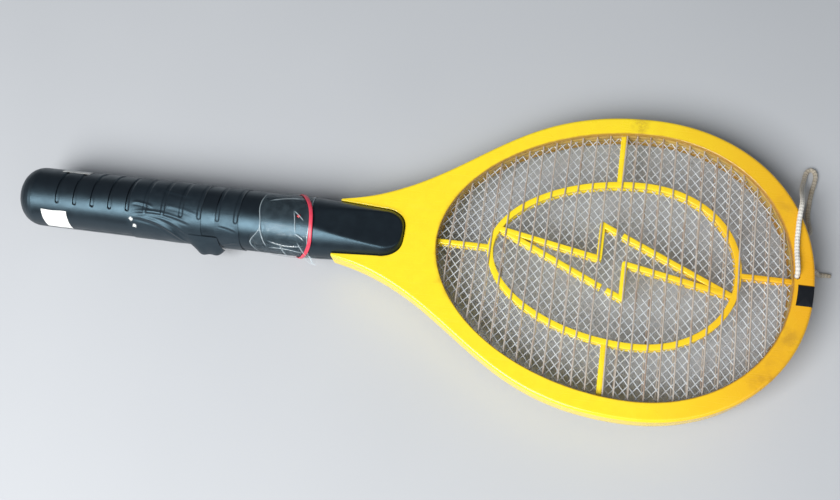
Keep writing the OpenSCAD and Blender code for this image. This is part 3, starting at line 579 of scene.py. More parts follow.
def side_curve(s):
    """One flared side of the yoke, a cubic from the rim's widest line to the prong's tip."""
    lean = math.radians(PRONG_ANGLE)
    pull = (-HEAD_REAR + PRONG_PULL * math.cos(lean), GRIP_R + PRONG_PULL * math.sin(lean))
    p = np.array([(0, HALF_W), (-WIDE_PULL, HALF_W), pull, (-HEAD_REAR, GRIP_R)])
    s = np.asarray(s, float)[:, None]
    xy = (1 - s) ** 3 * p[0] + 3 * (1 - s) ** 2 * s * p[1] + 3 * (1 - s) * s * s * p[2] + s ** 3 * p[3]
    return xy + (HEAD_X, 0)


def handle_radius(x, grow=0.0):
    """The handle's radius at a place along it: straight, then the tapered nose, then its rounded end."""
    x = np.asarray(x, float)
    along = np.clip((x - GRIP_LEN) / (NOSE_END_X - GRIP_LEN), 0, 1)
    taper = GRIP_R + grow + (NOSE_R - GRIP_R) * along
    k = np.clip((x - NOSE_END_X) / (NOSE_ROUND + grow), 0, 1)
    end = NOSE_END_R + (NOSE_R + grow - NOSE_END_R) * np.sqrt(np.maximum(0, 1 - k * k))
    return np.where(x > NOSE_END_X, end, taper)


def seat_edge(z, inset):
    """The cut that the nose sits in, at a height: from one prong's tip round the nose's end to the
    other's."""
    grow = 0.15 + inset
    k = np.sin(np.radians(np.linspace(0, 90, 40)))
    x = np.concatenate([np.linspace(HEAD_X - HEAD_REAR, NOSE_END_X, 30, endpoint=False),
                        NOSE_END_X + (NOSE_ROUND + grow) * k])
    y = np.sqrt(np.maximum(0, handle_radius(x, grow) ** 2 - z * z))
    last = np.argmax(y <= 0) if (y <= 0).any() else len(y)
    keep = np.arange(len(x)) < last
    x, y = x[keep], y[keep]
    x, y = np.append(x, NOSE_X + grow), np.append(y, 0)
    run = np.concatenate([[0], np.cumsum(np.hypot(np.diff(x), np.diff(y)))])
    part_way = run[-1] * 0.55
    want = np.concatenate([np.linspace(0, part_way, 26, endpoint=False), np.linspace(part_way, run[-1], 40)])
    x, y = np.interp(want, run, x), np.interp(want, run, y)
    return np.stack([np.concatenate([x, x[-2::-1]]), np.concatenate([y, -y[-2::-1]])], -1)


SIDE_S = np.linspace(0, 1, 120)
SIDE_T = np.interp(SIDE_S, [0, 0.2, 0.4, 0.6, 0.8, 1], [90, 108, 124, 138, 150, 160.2])
FRONT_T = np.linspace(-90, 90, 181)[:-1]
SEAT_T = np.concatenate([np.linspace(160.2, 171.5, 26, endpoint=False), np.linspace(171.5, 180, 40)])
SEAT_T = np.concatenate([SEAT_T, 360 - SEAT_T[-2::-1]])


def rim_loops():
    """The outside of the frame as a loop, its inward direction, and how much of an edge's rounding each
    point takes: less towards the thin prong tips."""
    side = side_curve(SIDE_S)
    front = oval(FRONT_T, HEAD_FRONT, HEAD_REAR, HALF_W)
    path = np.concatenate([side[::-1][:-1] * (1, -1), front, side])
    from_tip = path[:, 0] - (HEAD_X - HEAD_REAR)
    return path, across(path), 0.3 + 0.7 * smooth_step(from_tip, 0, 26)


def frame_half(side):
    """Half of the rim and yoke: rows of loops from the seam up the outer wall, round the outer edge, across
    the face, round the inner edge, down to the lip and back under it."""
    path, inward, share = rim_loops()
    inner = opening(np.concatenate([360 - SIDE_T[::-1][:-1], FRONT_T + 360, SIDE_T + 360, SEAT_T + 360]))
    away = -across(inner, True)
    outer_r, inner_r = 2.0, 0.8

    def outer_loop(z, inset):
        return np.concatenate([path + inward * (inset * share)[:, None], seat_edge(z, inset * 0.5)])

    rows = []

    def lay(xy, z):
        rows.append(np.concatenate([xy, np.full((len(xy), 1), z * side)], -1))

    lay(outer_loop(0.03, 0.25), 0.03)
    for z in (0.3, 2.2, 4.2, HALF_T - outer_r):
        lay(outer_loop(z, 0.02 * z), z)
    for a in np.radians((12, 25, 38, 50, 62, 75, 90)):
        z = HALF_T - outer_r + outer_r * math.sin(a)
        lay(outer_loop(z, 0.12 + outer_r * (1 - math.cos(a))), z)
    edge = outer_loop(HALF_T, 0.12 + outer_r)
    for f in (0.04, 0.25, 0.5, 0.75, 0.96):
        lay(edge + f * (inner + away * inner_r - edge), HALF_T)
    for a in np.radians((0, 22, 45, 67, 90)):
        lay(inner + away * inner_r * (1 - math.sin(a)), HALF_T - inner_r * (1 - math.cos(a)))
    for z in (HALF_T - 1.6, HALF_T - 2.4, LIP_Z):
        lay(inner, z)
    lay(inner + away * (BAND_W + 0.1), LIP_Z)
    lay(inner + away * (BAND_W + 0.1), 0.03)
    return surface(np.stack(rows), wrap_rows=True, wrap_cols=True)


def notch_cutter():
    """The gap in the rim that the tip's block fills."""
    half = TIP_HALF + 0.15
    y = np.linspace(TIP_Y - half, TIP_Y + half, 20)
    inner_x = HEAD_X + oval_reach(y, OPEN_FRONT + 2.75, OPEN_HALF + 2.75, FRONT_POWER)
    outline = np.concatenate([np.stack([inner_x, y], -1), np.stack([np.full(20, 530.0), y[::-1]], -1)])
    ends = [np.column_stack([outline, np.full(40, z)]) for z in (-20.0, 20.0)]
    return surface(np.stack(ends), wrap_cols=True, caps=True)


def rim_screw_places():
    """The rim's eight screws, just outside the opening."""
    t = np.array([28, 64, 100, 132, 228, 260, 296, 332], float)
    return oval(t, OPEN_FRONT + 6.2, OPEN_REAR + 6.2, OPEN_HALF + 5.9)


def screw_well(x, y, face_z):
    """A round well for a screw's head, and the way for its shank."""
    return lathe([-30, face_z + 2.1, face_z + 2.1, face_z + 5.5], [2.7, 2.7, 1.5, 1.5], 28, (x, y, 0), "Z")


def frames():
    """The front and back frames, with the notch, the cord's holes and the screw wells."""
    hole = lathe([3.0, 20.0], [1.9, 1.9], 28, CORD_HOLE, "Z")
    piece("rim_front", [frame_half(1)], RIM_YELLOW, ["frame_front"],
          cut_by=[notch_cutter(), hole])
    wells = [screw_well(px, py, -HALF_T) for px, py in rim_screw_places()]
    wells += [screw_well(NOSE_X + 9, s * 6.0, -HALF_T) for s in (-1, 1)]
    holes = [moved(lathe([-4.5, 4.5], [2.2, 2.2], 28), turn("Z", degrees), (px, py, -3.3))
             for px, py, degrees in BACK_HOLES]
    piece("rim_back", [frame_half(-1)], RIM_YELLOW, ["frame_back"],
          cut_by=[notch_cutter()] + wells + holes)


frames()

# ---------- guards, grids and mesh ----------


def slab(outline, z0, z1, edge):
    """A convex outline made a solid between two heights, with rounded edges: rows of the outline drawn in."""
    inward = across(outline, True)
    rows = []
    for z, way, angles in ((z0, 1, (90, 60, 30, 0)), (z1, -1, (0, 30, 60, 90))):
        for a in np.radians(angles):
            height = np.full(len(outline), z + way * edge * (1 - math.sin(a)))
            rows.append(np.column_stack([outline + inward * edge * (1 - math.cos(a)), height]))
    return surface(np.stack(rows), wrap_cols=True, caps=True)


def bar(a, b, width, z0, z1, round_a=True, round_b=True):
    """A straight bar with round or square ends."""
    a, b = np.asarray(a, float), np.asarray(b, float)
    d = unit(b - a)
    n = np.array([-d[1], d[0]])
    half = np.radians(np.linspace(90, 270, 9))
    ends = []
    for centre, way, rounded in ((a, 0.0, round_a), (b, math.pi, round_b)):
        ang = half + way
        if rounded:
            ends.append(centre + width / 2 * (np.cos(ang)[:, None] * d + np.sin(ang)[:, None] * n))
        else:
            ends.append(centre + width / 2 * np.linspace(1, -1, 9)[:, None] * n * math.cos(way))
    return slab(np.concatenate(ends), z0, z1, 0.45)


def ring_bar(centre_line, width, z0, z1, edge=0.45):
    """A bar that closes on itself: its rounded box section carried round a line."""
    n = -across(centre_line, True)
    h, q = width / 2, edge
    section = []
    corners = ((h - q, z1 - q, 0), (-h + q, z1 - q, 90), (-h + q, z0 + q, 180), (h - q, z0 + q, 270))
    for cx, cz, start in corners:
        for a in np.radians(np.array((0, 30, 60, 90)) + start):
            section.append((cx + q * math.cos(a), cz + q * math.sin(a)))
    section = np.array(section)
    xy = centre_line[:, None] + section[None, :, 0:1] * n[:, None]
    z = np.broadcast_to(section[None, :, 1:2], (*xy.shape[:2], 1))
    return surface(np.concatenate([xy, z], -1), wrap_rows=True, wrap_cols=True)


BOLT_SET_IN, SPOKE_SET_IN = (0.02, 0.045, 0.07), 0.095
BOLT = np.array([(-71.2, 13.1), (-7.9, 0.9), (-7.6, 23.4)])
GAP_AT, GAP_W, GAP_LEAN = np.array([3.5, 18.3]), 3.6, -23.0


def guard(z0):
    """The lattice between a grid and the mesh: the oval, four spokes and the zigzag, broken by gaps. Bars
    that meet are set in by unequal hairs, so no two of their faces lie in one plane."""
    centre = np.array([GUARD_X, 0.0])
    rear = HEAD_X - GUARD_X + GUARD_LEN / 2
    line = oval(np.linspace(0, 360, 240, endpoint=False), GUARD_LEN - rear, rear, GUARD_W / 2)
    parts = [ring_bar(line, BAR_W, z0, z0 + GUARD_H)]

    def lay(a, b, narrower, inset, *rounded):
        parts.append(bar(a, b, BAR_W - narrower, z0 + inset, z0 + GUARD_H - inset, *rounded))

    top = oval_reach(HEAD_X - GUARD_X, OPEN_HALF, OPEN_REAR, REAR_POWER)
    spokes = [((GUARD_LEN / 2, 0), (HEAD_X - GUARD_X + OPEN_FRONT + 1, 0)),
              ((-GUARD_LEN / 2, 0), (OPEN_X - GUARD_X - 1, 0)),
              ((0, -GUARD_W / 2), (0, -top - 1)), ((0, GUARD_W / 2), (0, top + 1))]
    for a, b in spokes:
        lay(centre + a, centre + b, 0.6, SPOKE_SET_IN, False, False)
    lean = math.radians(GAP_LEAN)
    cut = np.array([math.cos(lean), math.sin(lean)])
    for turned in (1, -1):
        a, b, c = turned * BOLT
        d = -a
        along = unit(d - c)
        reach = np.dot(turned * GAP_AT - c, cut) / np.dot(along, cut)
        before, after = c + along * (reach - GAP_W / 2), c + along * (reach + GAP_W / 2)
        lay(centre + a, centre + b, 0.4, BOLT_SET_IN[0])
        lay(centre + b, centre + c, 0.4, BOLT_SET_IN[1])
        lay(centre + c, centre + before, 0.4, BOLT_SET_IN[2], True, False)
        lay(centre + after, centre + d, 0.4, BOLT_SET_IN[2], False, True)
    return parts


def guard_border(z0):
    """The band that holds the lattice round the opening, under the rim's lip."""
    line = opening(np.linspace(0, 360, 300, endpoint=False), 1.3)
    return [ring_bar(line, 2.4, z0, z0 + GUARD_H, 0.2)]


def wire_grid(side, seed):
    """Straight drawn wires across the head, each a little out of true, and the strip that joins them."""
    r = np.random.default_rng(seed)
    parts = []
    share = np.linspace(-1, 1, 15)
    for i in range(WIRE_COUNT):
        x = (i - (WIRE_COUNT - 1) / 2) * WIRE_PITCH + GUARD_X
        reach, power = (OPEN_FRONT, FRONT_POWER) if x >= HEAD_X else (OPEN_REAR, REAR_POWER)
        y = oval_reach(x - HEAD_X, OPEN_HALF, reach, power) + BAND_W - 0.6
        lean, bow, twist = r.normal(0, 0.22), r.normal(0, 0.25), r.normal(0, 0.12)
        if i == WIRE_COUNT // 2:
            x, bow = x + 2.1, -0.6
        path = np.stack([
            x + lean * share + bow * (1 - share ** 2) + twist * np.sin(3 * share),
            y * share,
            side * (WIRE_Z + r.normal(0, 0.03) * (1 - share ** 2))], -1)
        parts.append(tube(path, WIRE_D / 2, WIRE_D / 2, 10))
    line = opening(np.linspace(0, 360, 260, endpoint=False), 1.1)
    low, high = sorted((side * (WIRE_Z + 0.25), side * (WIRE_Z + 0.75)))
    parts.append(ring_bar(line, 1.2, low, high, 0.1))
    return parts


def woven_mesh():
    """Two sets of slanting strands that rise and dip past each other where they cross, clipped to the
    opening."""
    parts = []
    for lean in (1, -1):
        for i in range(-40, 41):
            x0 = GUARD_X + (i + 0.5) * DIAMOND_X
            x = np.arange(GUARD_X - 160, GUARD_X + 160, DIAMOND_X / 8)
            y = lean * DIAMOND_Y / DIAMOND_X * (x - x0)
            inside = in_opening(x, y, 1.4)
            if inside.sum() < 6:
                continue
            x, y = x[inside], y[inside]
            z = lean * 0.17 * np.cos(2 * np.pi * (x - GUARD_X) / DIAMOND_X)
            parts.append(tube(np.stack([x, y, z], -1), 0.30, 0.17, 6))
    line = opening(np.linspace(0, 360, 260, endpoint=False), 1.35)
    parts.append(ring_bar(line, 1.7, -0.38, 0.38, 0.1))
    return parts


SIDES = (("front", GUARD_Z), ("back", -GUARD_Z - GUARD_H))
for end, z in SIDES:
    piece("guard_lattice_" + end, guard(z), GUARD_YELLOW, ["guard_" + end])
for end, z in SIDES:
    piece("guard_border_" + end, guard_border(z), GRIMY_SHADED_YELLOW, ["guard_" + end])
piece("grid_wires_front", wire_grid(1, 3), WIRE, ["wire_grid_front"])
piece("grid_wires_back", wire_grid(-1, 8), WIRE, ["wire_grid_back"])
piece("woven_mesh", woven_mesh(), MESH, ["centre_mesh"])


def tip_block():
    """The black block that closes the rim at its tip: the rim's own section between the two cuts, a little
    low."""
    y = np.linspace(TIP_Y - TIP_HALF, TIP_Y + TIP_HALF, 16)
    inner_x = HEAD_X + oval_reach(y, OPEN_FRONT + 2.9, OPEN_HALF + 2.9, FRONT_POWER)
    outer_x = HEAD_X + oval_reach(y, HEAD_FRONT - 0.5, HALF_W, FRONT_POWER)
    outline = np.concatenate([np.stack([outer_x, y], -1), np.stack([inner_x, y], -1)[::-1]])
    return slab(outline, -HALF_T + 0.4, HALF_T - 0.4, 0.5)


piece("tip_block", [tip_block()], INSERT_BLACK, ["tip_insert"])

# ---------- handle ----------

GROOVES = 31 + 12.4 * np.arange(11)
GROOVE_HALF, GROOVE_SPAN = 1.2, (-25, 65)


def groove_depth(x, degrees, deep=0.8, edge=0.5):
    """How far the finger grooves sink at a place: each is a slot with round ends that spans some degrees
    from the near side to the far one, and the depth fades in over its edge."""
    s = GRIP_R * np.radians(degrees)
    low, high = (GRIP_R * math.radians(k) for k in GROOVE_SPAN)
    over = np.maximum(0, np.maximum(low - s, s - high))
    sink = np.zeros(np.broadcast(x, s).shape)
    for at in GROOVES:
        d = np.hypot(x - at, over)
        sink = np.maximum(sink, deep * (1 - smooth_step(d, GROOVE_HALF - edge / 2, GROOVE_HALF + edge / 2)))
    return sink


def groove_places(low, high, step):
    """Places along the handle, close together where a groove's walls are."""
    half = np.array((0.4, 0.8, 1.0, 1.2, 1.4, 1.6, 2.2))
    near = (GROOVES[:, None] + np.concatenate([-half[::-1], [0], half])).ravel()
    x = np.concatenate([np.arange(low, high, step), near[(near > low) & (near < high)], [high]])
    return np.unique(np.round(x, 3))


def handle_point(x, degrees, r):
    """A point on the handle at a place along it, an angle from the front line towards +Y, and a radius."""
    a = np.radians(degrees)
    return np.stack([np.broadcast_to(x, r.shape), r * np.sin(a), r * np.cos(a)], -1)


def nose_top(x):
    """Height of the sloping flat on top of the nose."""
    return GRIP_R + 0.2 - NOSE_FALL * (x - NOSE_FLAT_X) / NOSE_FLAT_LEN


def handle_half(side):
    """One moulded half of the handle: the outer skin with its grooves, its flat and the rounded nose, the
    same skin drawn in by the wall, and the edges between them."""
    x = groove_places(12.05, NOSE_END_X, 2.2)
    k = np.sin(np.radians(np.linspace(0, 90, 22)[1:]))
    x = np.concatenate([x, NOSE_END_X + NOSE_ROUND * k, np.full(3, NOSE_X)])
    if side > 0:
        coarse, fine = np.arange(-86, -40, 2.5), np.arange(-40, 82, 1.6)
        degrees = np.concatenate([[-89.7, -88.5], coarse, fine, [84, 86, 88.5, 89.7]])
    else:
        degrees = 180 + np.linspace(-89.7, 89.7, 90)
    radius = handle_radius(x)
    radius[-3:] = (5.0, 2.0, 0.01)
    x2, a2 = x[:, None], degrees[None, :]
    r = np.broadcast_to(radius[:, None], (len(x), len(degrees))).copy()
    if side > 0:
        r = r - groove_depth(x2, a2)
        lift = np.maximum(np.cos(np.radians(a2)), 0.02)
        flat = np.where(x2 > NOSE_FLAT_X, nose_top(x2) / lift, 99.0)
        soft = 0.25
        r = -soft * np.logaddexp(-r / soft, -flat / soft)
    seam = 0.25 * np.exp(-((90 - np.abs(a2 if side > 0 else a2 - 180)) / 0.9) ** 2)
    r = r - seam
    wall = np.where(x < NOSE_X - 3, 2.0, 1.0)[:, None]
    inner = np.maximum(r - wall, 0.005)
    inner_x = np.minimum(x2, NOSE_X - 2.0)
    return shell(handle_point(x2, a2, r), handle_point(inner_x, a2, inner))


def handle_shells():
    """Both halves, with the button's hole, the lamp's hole and the wells of the back screws."""
    button_hole = moved(lathe([5.0, 40.0], [BUTTON_R + 0.12] * 2, 48, toward="Z"),
                        turn("X", BUTTON_ANGLE), (BUTTON_X, 0, 0))
    lamp_hole = lathe([5.0, 40.0], [LAMP_R + 0.06] * 2, 32, (LAMP_X, 0, 0), "Z")
    wells = [lathe([-40.0, -3.9], [2.8, 2.8], 28, (px, py, 0), "Z")
             for px in (150.2, 213.0) for py in (-13.8, 13.8)]
    piece("handle_shell_front", [handle_half(1)], SHELL_BLACK, ["handle_front"],
          weld=True, crease=50, cut_by=[button_hole, lamp_hole])
    piece("handle_shell_back", [handle_half(-1)], SHELL_BLACK, ["handle_back"],
          weld=True, crease=50, cut_by=wells)


handle_shells()

# ---------- what has been added on the outside ----------


def crease_field(x, s, lines):
    """Height and mark of listed creases at places x along the handle and s round it. Each crease is its
    two ends, the bend between them, its height and its width: a raised ridge with a narrower dip beside it,
    fading out at its ends."""
    height, mark = np.zeros(np.broadcast(x, s).shape), np.zeros(np.broadcast(x, s).shape)
    for (x0, s0), (x1, s1), bend, tall, width in lines:
        a, b = np.array([x0, s0], float), np.array([x1, s1], float)
        length = np.linalg.norm(b - a)
        d = (b - a) / length
        t = ((x - a[0]) * d[0] + (s - a[1]) * d[1]) / length
        off = (x - a[0]) * -d[1] + (s - a[1]) * d[0] - bend * 4 * t * (1 - t)
        fade = smooth_step(t, -0.02, 0.22) * (1 - smooth_step(t, 0.75, 1.02))
        dip = 0.7 * np.exp(-((off + 1.7 * width) / (0.8 * width)) ** 2)
        height += tall * fade * (np.exp(-(off / width) ** 2) - dip)
        # The mark is the crease's middle line, where the clear film paints its highlight.
        mark = np.maximum(mark, fade * np.exp(-(off / (0.45 * width)) ** 2))
    return height, mark


def tape_finish():
    """Worn black vinyl tape: stretched, a little dusty, dull where it is rubbed, with two pale specks, and a
    painted blue sky reflection tinted into its sheen.
    """
    f = Finish("tape_black")
    dust = f.ramp(f.grain(110, 6, 0.7), [(0.45, 0.0), (0.8, 0.35)])
    colour = f.mix(dust, (0.009, 0.012, 0.016), (0.030, 0.038, 0.046))
    wobble = f.grain(900, 2)
    for centre in ((0.0835, -0.0137, 0.0148), (0.0855, -0.0169, 0.0111)):
        speck = f.times(f.spot(centre, 0.0016, wobble), 1.6, clamp=True)
        colour = f.mix(speck, colour, (0.80, 0.82, 0.80))
    drawn = f.grain(1.0, 3, where=f.stretched((60, 700, 700)))
    return f.surface({
        "Base Color": colour,
        "Roughness": f.patches(70, 0.34, 0.50),
        # Painted reflection: a blue sky tint in the tape's sheen.
        "Specular Tint": PAINTED_SKY_SHEEN, "Specular IOR Level": 0.7,
        "Normal": f.bump(f.plus(drawn, f.times(f.grain(1800, 2), 0.4)), 0.00006)})


TAPE = tape_finish()
SKIN_R = GRIP_R + 0.04
TAPE_T, FILM_T, LABEL_T = 0.22, 0.06, 0.08
BAND_X, BAND_HALF, BAND_REACH = 193.0, 1.2, 12.2
TAPE_CREASES = [
    ((83.6, -3.6), (99, -5.8), 0.9, 0.42, 0.9), ((84, -9.6), (125, -13.4), 2.8, 0.55, 1.1),
    ((84, -13), (121, -34), 7.0, 0.55, 1.3), ((89, -11.3), (123, -23), 5.0, 0.26, 1.2),
    ((106, -3.5), (131, -8.5), 1.2, 0.20, 1.1), ((98, 10), (126, 5), -1.4, 0.16, 1.2),
    ((92, -30), (118, -44), 2.4, 0.22, 1.5), ((84, 30), (120, 24), 2.0, 0.2, 1.5),
    ((90, -54), (128, -48), 2.0, 0.25, 1.5),
]
BAND_CREASES = [((143, -12), (156, -15), 0.6, 0.16, 0.8), ((142, -30), (156, -24), 1.0, 0.2, 0.9)]


def tape_sleeve(x0, x1, creases, seed, ragged):
    """Tape wound round the handle: the handle's radius, with the finger grooves showing through softly, its
    creases, and cut ends that wander along the handle."""
    x = groove_places(x0, x1, 0.8)
    degrees = np.arange(-180, 180, 1.5)
    share = (x - x0) / (x1 - x0)
    a2 = degrees[None, :]
    s = GRIP_R * np.radians(a2)
    left, right = (ragged * ripple(s * 0.5, 0 * s, seed + k, 3.0, 2) for k in (0, 1))
    x2 = x[:, None] + left * (1 - share[:, None]) ** 8 + right * share[:, None] ** 8
    height, _ = crease_field(x2, s, creases)
    r = SKIN_R + 0.26 - groove_depth(x2, a2, 0.42, 1.3) + np.maximum(height, -0.2)
    r = r + 0.05 * ripple(x2, s, seed + 2, 5.0) + 0.10 * np.maximum(0, ripple(x2, s, seed + 3, 9.0))
    r = np.maximum(r, SKIN_R - 0.30)
    return shell(handle_point(x2, a2, r), handle_point(x2, a2, r - TAPE_T), wrap_cols=True)


def sheet(grid, thick):
    """A thin solid over a curved grid, thickened along its normals."""
    return shell(grid, grid + thick * unit(np.cross(np.gradient(grid, axis=0), np.gradient(grid, axis=1))))


def tape_tail():
    """The slack end of the tape: a fold that leaves the handle low on its near side, bulges out and hangs,
    most in its middle, with a wavy edge."""
    u, v = np.linspace(0, 1, 30)[:, None], np.linspace(0, 1, 40)[None, :]
    belly = np.sin(np.pi * np.clip(v * 0.94 + 0.03, 0, 1)) ** 0.7 * (1 + 0.10 * np.sin(9 * v))
    x = 122.5 + 19.5 * v + 2.2 * u * (v - 0.3) + 0.5 * np.sin(7 * u + 3 * v) * u
    angle = np.radians(-62 - 46 * u)
    r = SKIN_R + 0.42 + 6.2 * u ** 1.6 * belly + 0.35 * np.sin(11 * v + 5 * u) * u
    return sheet(np.stack([x + 0 * r, r * np.sin(angle), r * np.cos(angle) + 1.2 * u * belly], -1), TAPE_T)


tape = [tape_sleeve(81, 131.5, TAPE_CREASES, 11, 0.5), tape_tail(),
        tape_sleeve(141.5, 157, BAND_CREASES, 31, 0.5)]
piece("black_tape_wrap", tape, TAPE, ["black_tape"], crease=60)


def film_finish():
    """Clear wrapping film: nearly unseen where it is smooth, with painted white highlights along its creases
    and edges and a painted blue sky reflection in its colour.
    """
    f = Finish("clear_film")
    crease = f.node("ShaderNodeAttribute", attribute_name="crease").outputs["Fac"]
    haze = f.ramp(f.grain(160, 4), [(0.4, 0.02), (0.8, 0.07)])
    return f.surface({
        # Painted highlight in white where the crease mark is, a painted blue sky reflection elsewhere.
        "Base Color": f.mix(crease, (0.28, 0.40, 0.47), (0.76, 0.83, 0.87)),
        "Alpha": f.plus(haze, f.times(crease, 0.65), clamp=True),
        "Roughness": f.ramp(crease, [(0.0, 0.10), (1.0, 0.35)]),
        "Normal": f.bump(f.grain(420, 3), 0.00012),
        "Coat Weight": 1.0, "Coat Roughness": 0.05})


FILM_CREASES = [
    ((171.5, -4), (176, -24), -1.4, 0.55, 0.5), ((176, -18.5), (201, -19.5), -1.8, 0.60, 0.5),
    ((192, 3), (200, -3.5), 0.3, 0.50, 0.42), ((192, 3), (195, -12), 0.6, 0.45, 0.4),
    ((195, -12), (201, -16), 0.5, 0.4, 0.45), ((176, -24), (201, -26), 1.8, 0.45, 0.5),
    ((184, -20), (189, -36), 0.8, 0.35, 0.5), ((196, -17), (202, -34), 1.0, 0.45, 0.5),
    ((174, 8), (198, 14), 1.2, 0.30, 0.5), ((180, 20), (202, 30), 2.0, 0.30, 0.6),
    ((173, -36), (199, -42), 2.0, 0.4, 0.6), ((170, 40), (200, 50), 2.0, 0.3, 0.6),
]


def film_sleeve():
    """Clear film wrapped loosely round the button and the lamp: the handle's radius with uneven slack,
    creases, and a left edge that runs back along the near side."""
    degrees = np.arange(-180, 180, 1.2)
    v = np.linspace(0, 1, 90)[:, None]
    a2 = degrees[None, :]
    s = GRIP_R * np.radians(a2)
    left = 170.5 - 6.5 * np.exp(-((a2 + 62) / 22) ** 2) + 1.0 * ripple(s * 0.4, 0 * s, 4, 3.0, 2)
    right = 201.5 + 2.2 * np.cos(np.radians(a2 + 25)) + 0.5 * ripple(s * 0.4, 0 * s, 6, 2.0, 2)
    x = left + (right - left) * v
    height, mark = crease_field(x, s, FILM_CREASES)
    bag = np.exp(-((a2 + 78) / 20) ** 2) * np.sin(np.pi * v) ** 0.7
    under = smooth_step(-np.cos(np.radians(a2)), 0.75, 1.0)
    slack = (0.35 * (1 + ripple(x, s, 21, 7.0)) + bag) * (1 - 0.8 * under)
    r = SKIN_R + 0.12 + slack + np.maximum(height, -0.05)
    # Painted highlight also along the film's two edges.
    mark = np.maximum(mark, 0.75 * np.exp(-(np.minimum(v, 1 - v) / 0.012) ** 2))
    part = shell(handle_point(x, a2, r), handle_point(x, a2, r - FILM_T), wrap_cols=True)
    return part, np.tile(mark.ravel(), 2)


def film_tail():
    """A loose corner of the film that sticks out low on the near side."""
    u = np.linspace(0, 1, 18)[:, None]
    v = np.linspace(0, 1, 24)[None, :]
    x = 196 + 12 * v * (1 - 0.4 * u) + 3 * u
    angle = np.radians(-82 - 16 * u)
    r = SKIN_R + 0.7 + 4.0 * u ** 1.4 * (0.3 + 0.7 * v) + 0.4 * np.sin(8 * v + 4 * u) * u
    # Painted highlight along the corner's outer edge and along one fold.
    mark = 0.8 * np.maximum(u > 0.93, np.exp(-((v - 0.55 - 0.2 * u) / 0.05) ** 2))
    part = sheet(np.stack([x + 0 * r, r * np.sin(angle), r * np.cos(angle) - 1.5 * u * v], -1), FILM_T)
    return part, np.tile(mark.ravel(), 2)


film, film_highlight = film_sleeve()
tail, tail_highlight = film_tail()
# The crease mark carries the film's painted highlight.
piece("clear_film", [film, tail], film_finish(), ["clear_wrap"], crease=70,
      marks={"crease": np.concatenate([film_highlight, tail_highlight])})


def stretched_band():
    """A flat rubber band round the handle, its edges rounded, pressed thin underneath."""
    a = np.linspace(0, 2 * np.pi, 180, endpoint=False)
    thick = 0.40 * (1 - 0.85 * np.maximum(0, -np.cos(a)) ** 4)
    r = SKIN_R + 0.40 + thick
    x = BAND_X + BAND_REACH * np.cos(a + math.radians(25)) + 0.25 * np.sin(5 * a)
    path = np.stack([x, r * np.sin(a), r * np.cos(a)], -1)
    t = heading(path, True)
    out = np.stack([0 * a, np.sin(a), np.cos(a)], -1)
    out = unit(out - t * np.sum(out * t, 1)[:, None])
    side = np.cross(t, out)
    b = np.linspace(0, 2 * np.pi, 16, endpoint=False)
    wide, deep = (np.sign(k) * np.abs(k) ** 0.7 for k in (np.cos(b), np.sin(b)))
    rise = (thick[:, None] * deep)[..., None] * out[:, None]
    grid = path[:, None] + rise + (BAND_HALF * wide)[None, :, None] * side[:, None]
    return surface(grid, wrap_rows=True, wrap_cols=True)


def band_finish():
    """Red rubber with a faint powdery bloom."""
    f = Finish("band_red")
    return f.surface({
        "Base Color": f.mix(f.grain(220, 4), (0.62, 0.035, 0.075), (0.78, 0.08, 0.13)),
        "Roughness": f.patches(300, 0.28, 0.42),
        "Normal": f.bump(f.grain(1300, 2), 0.00004),
        "Subsurface Weight": 0.15, "Subsurface Radius": (0.002, 0.0005, 0.0005)})


piece("rubber_band_red", [stretched_band()], band_finish(), ["rubber_band"])


def paper_finish():
    """White label paper: fibres, a slight yellowing and a fine tooth."""
    f = Finish("label_paper")
    return f.surface({
        "Base Color": f.mix(f.grain(140, 5), (0.90, 0.91, 0.90), (0.78, 0.79, 0.76)),
        "Roughness": f.patches(500, 0.55, 0.8),
        "Normal": f.bump(f.grain(2400, 4), 0.00003)})


PAPER = paper_finish()


def label(x0, x1, low, high, seed, ragged):
    """A torn patch of label: part of the handle's surface, its edges ragged and a little lifted."""
    u, v = np.linspace(0, 1, 46)[:, None], np.linspace(0, 1, 46)[None, :]
    wide, tall = x1 - x0, GRIP_R * math.radians(high - low)
    from_u, from_v = np.minimum(u, 1 - u), np.minimum(v, 1 - v)
    along, around = u * wide, v * tall
    torn_x = ragged * ripple(around, u * 3, seed, 2.2) * (1 - smooth_step(from_u, 0, 0.25)) * np.sign(u - 0.5)
    torn_a = ragged * 2.0 * ripple(along, v * 3, seed + 1, 2.2) * (1 - smooth_step(from_v, 0, 0.25))
    x = x0 + along + torn_x
    a = low + (high - low) * v + torn_a
    near_edge = np.exp(-np.minimum(from_u * wide, from_v * tall) / 0.5)
    lift = near_edge * np.maximum(0, ripple(along, around, seed + 2, 4.0))
    r = SKIN_R + 0.10 + 0.18 * lift + 0.02 * ripple(along, around, seed + 3, 3.0)
    return shell(handle_point(x, a, r), handle_point(x, a, r - LABEL_T))


piece("label_near", [label(19.5, 37.5, -92, -44, 5, 0.25)], PAPER, ["sticker_near"], crease=60)
piece("label_far", [label(26.5, 46, 47, 84, 17, 0.4)], PAPER, ["sticker_far"], crease=60)

# ---------- finishes of the CAD nodes that stay ----------


def dress(names, finish):
    """Gives CAD nodes a finish."""
    for name in names:
        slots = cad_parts[name].data.materials
        slots.clear()
        slots.append(finish)


def lamp_finish():
    """Red tinted resin."""
    f = Finish("lamp_red")
    return f.surface({
        "Base Color": f.mix(f.grain(500), (0.42, 0.004, 0.008), (0.60, 0.012, 0.02)),
        "Roughness": f.patches(700, 0.12, 0.22),
        "Coat Weight": 0.6, "Coat Roughness": 0.05})


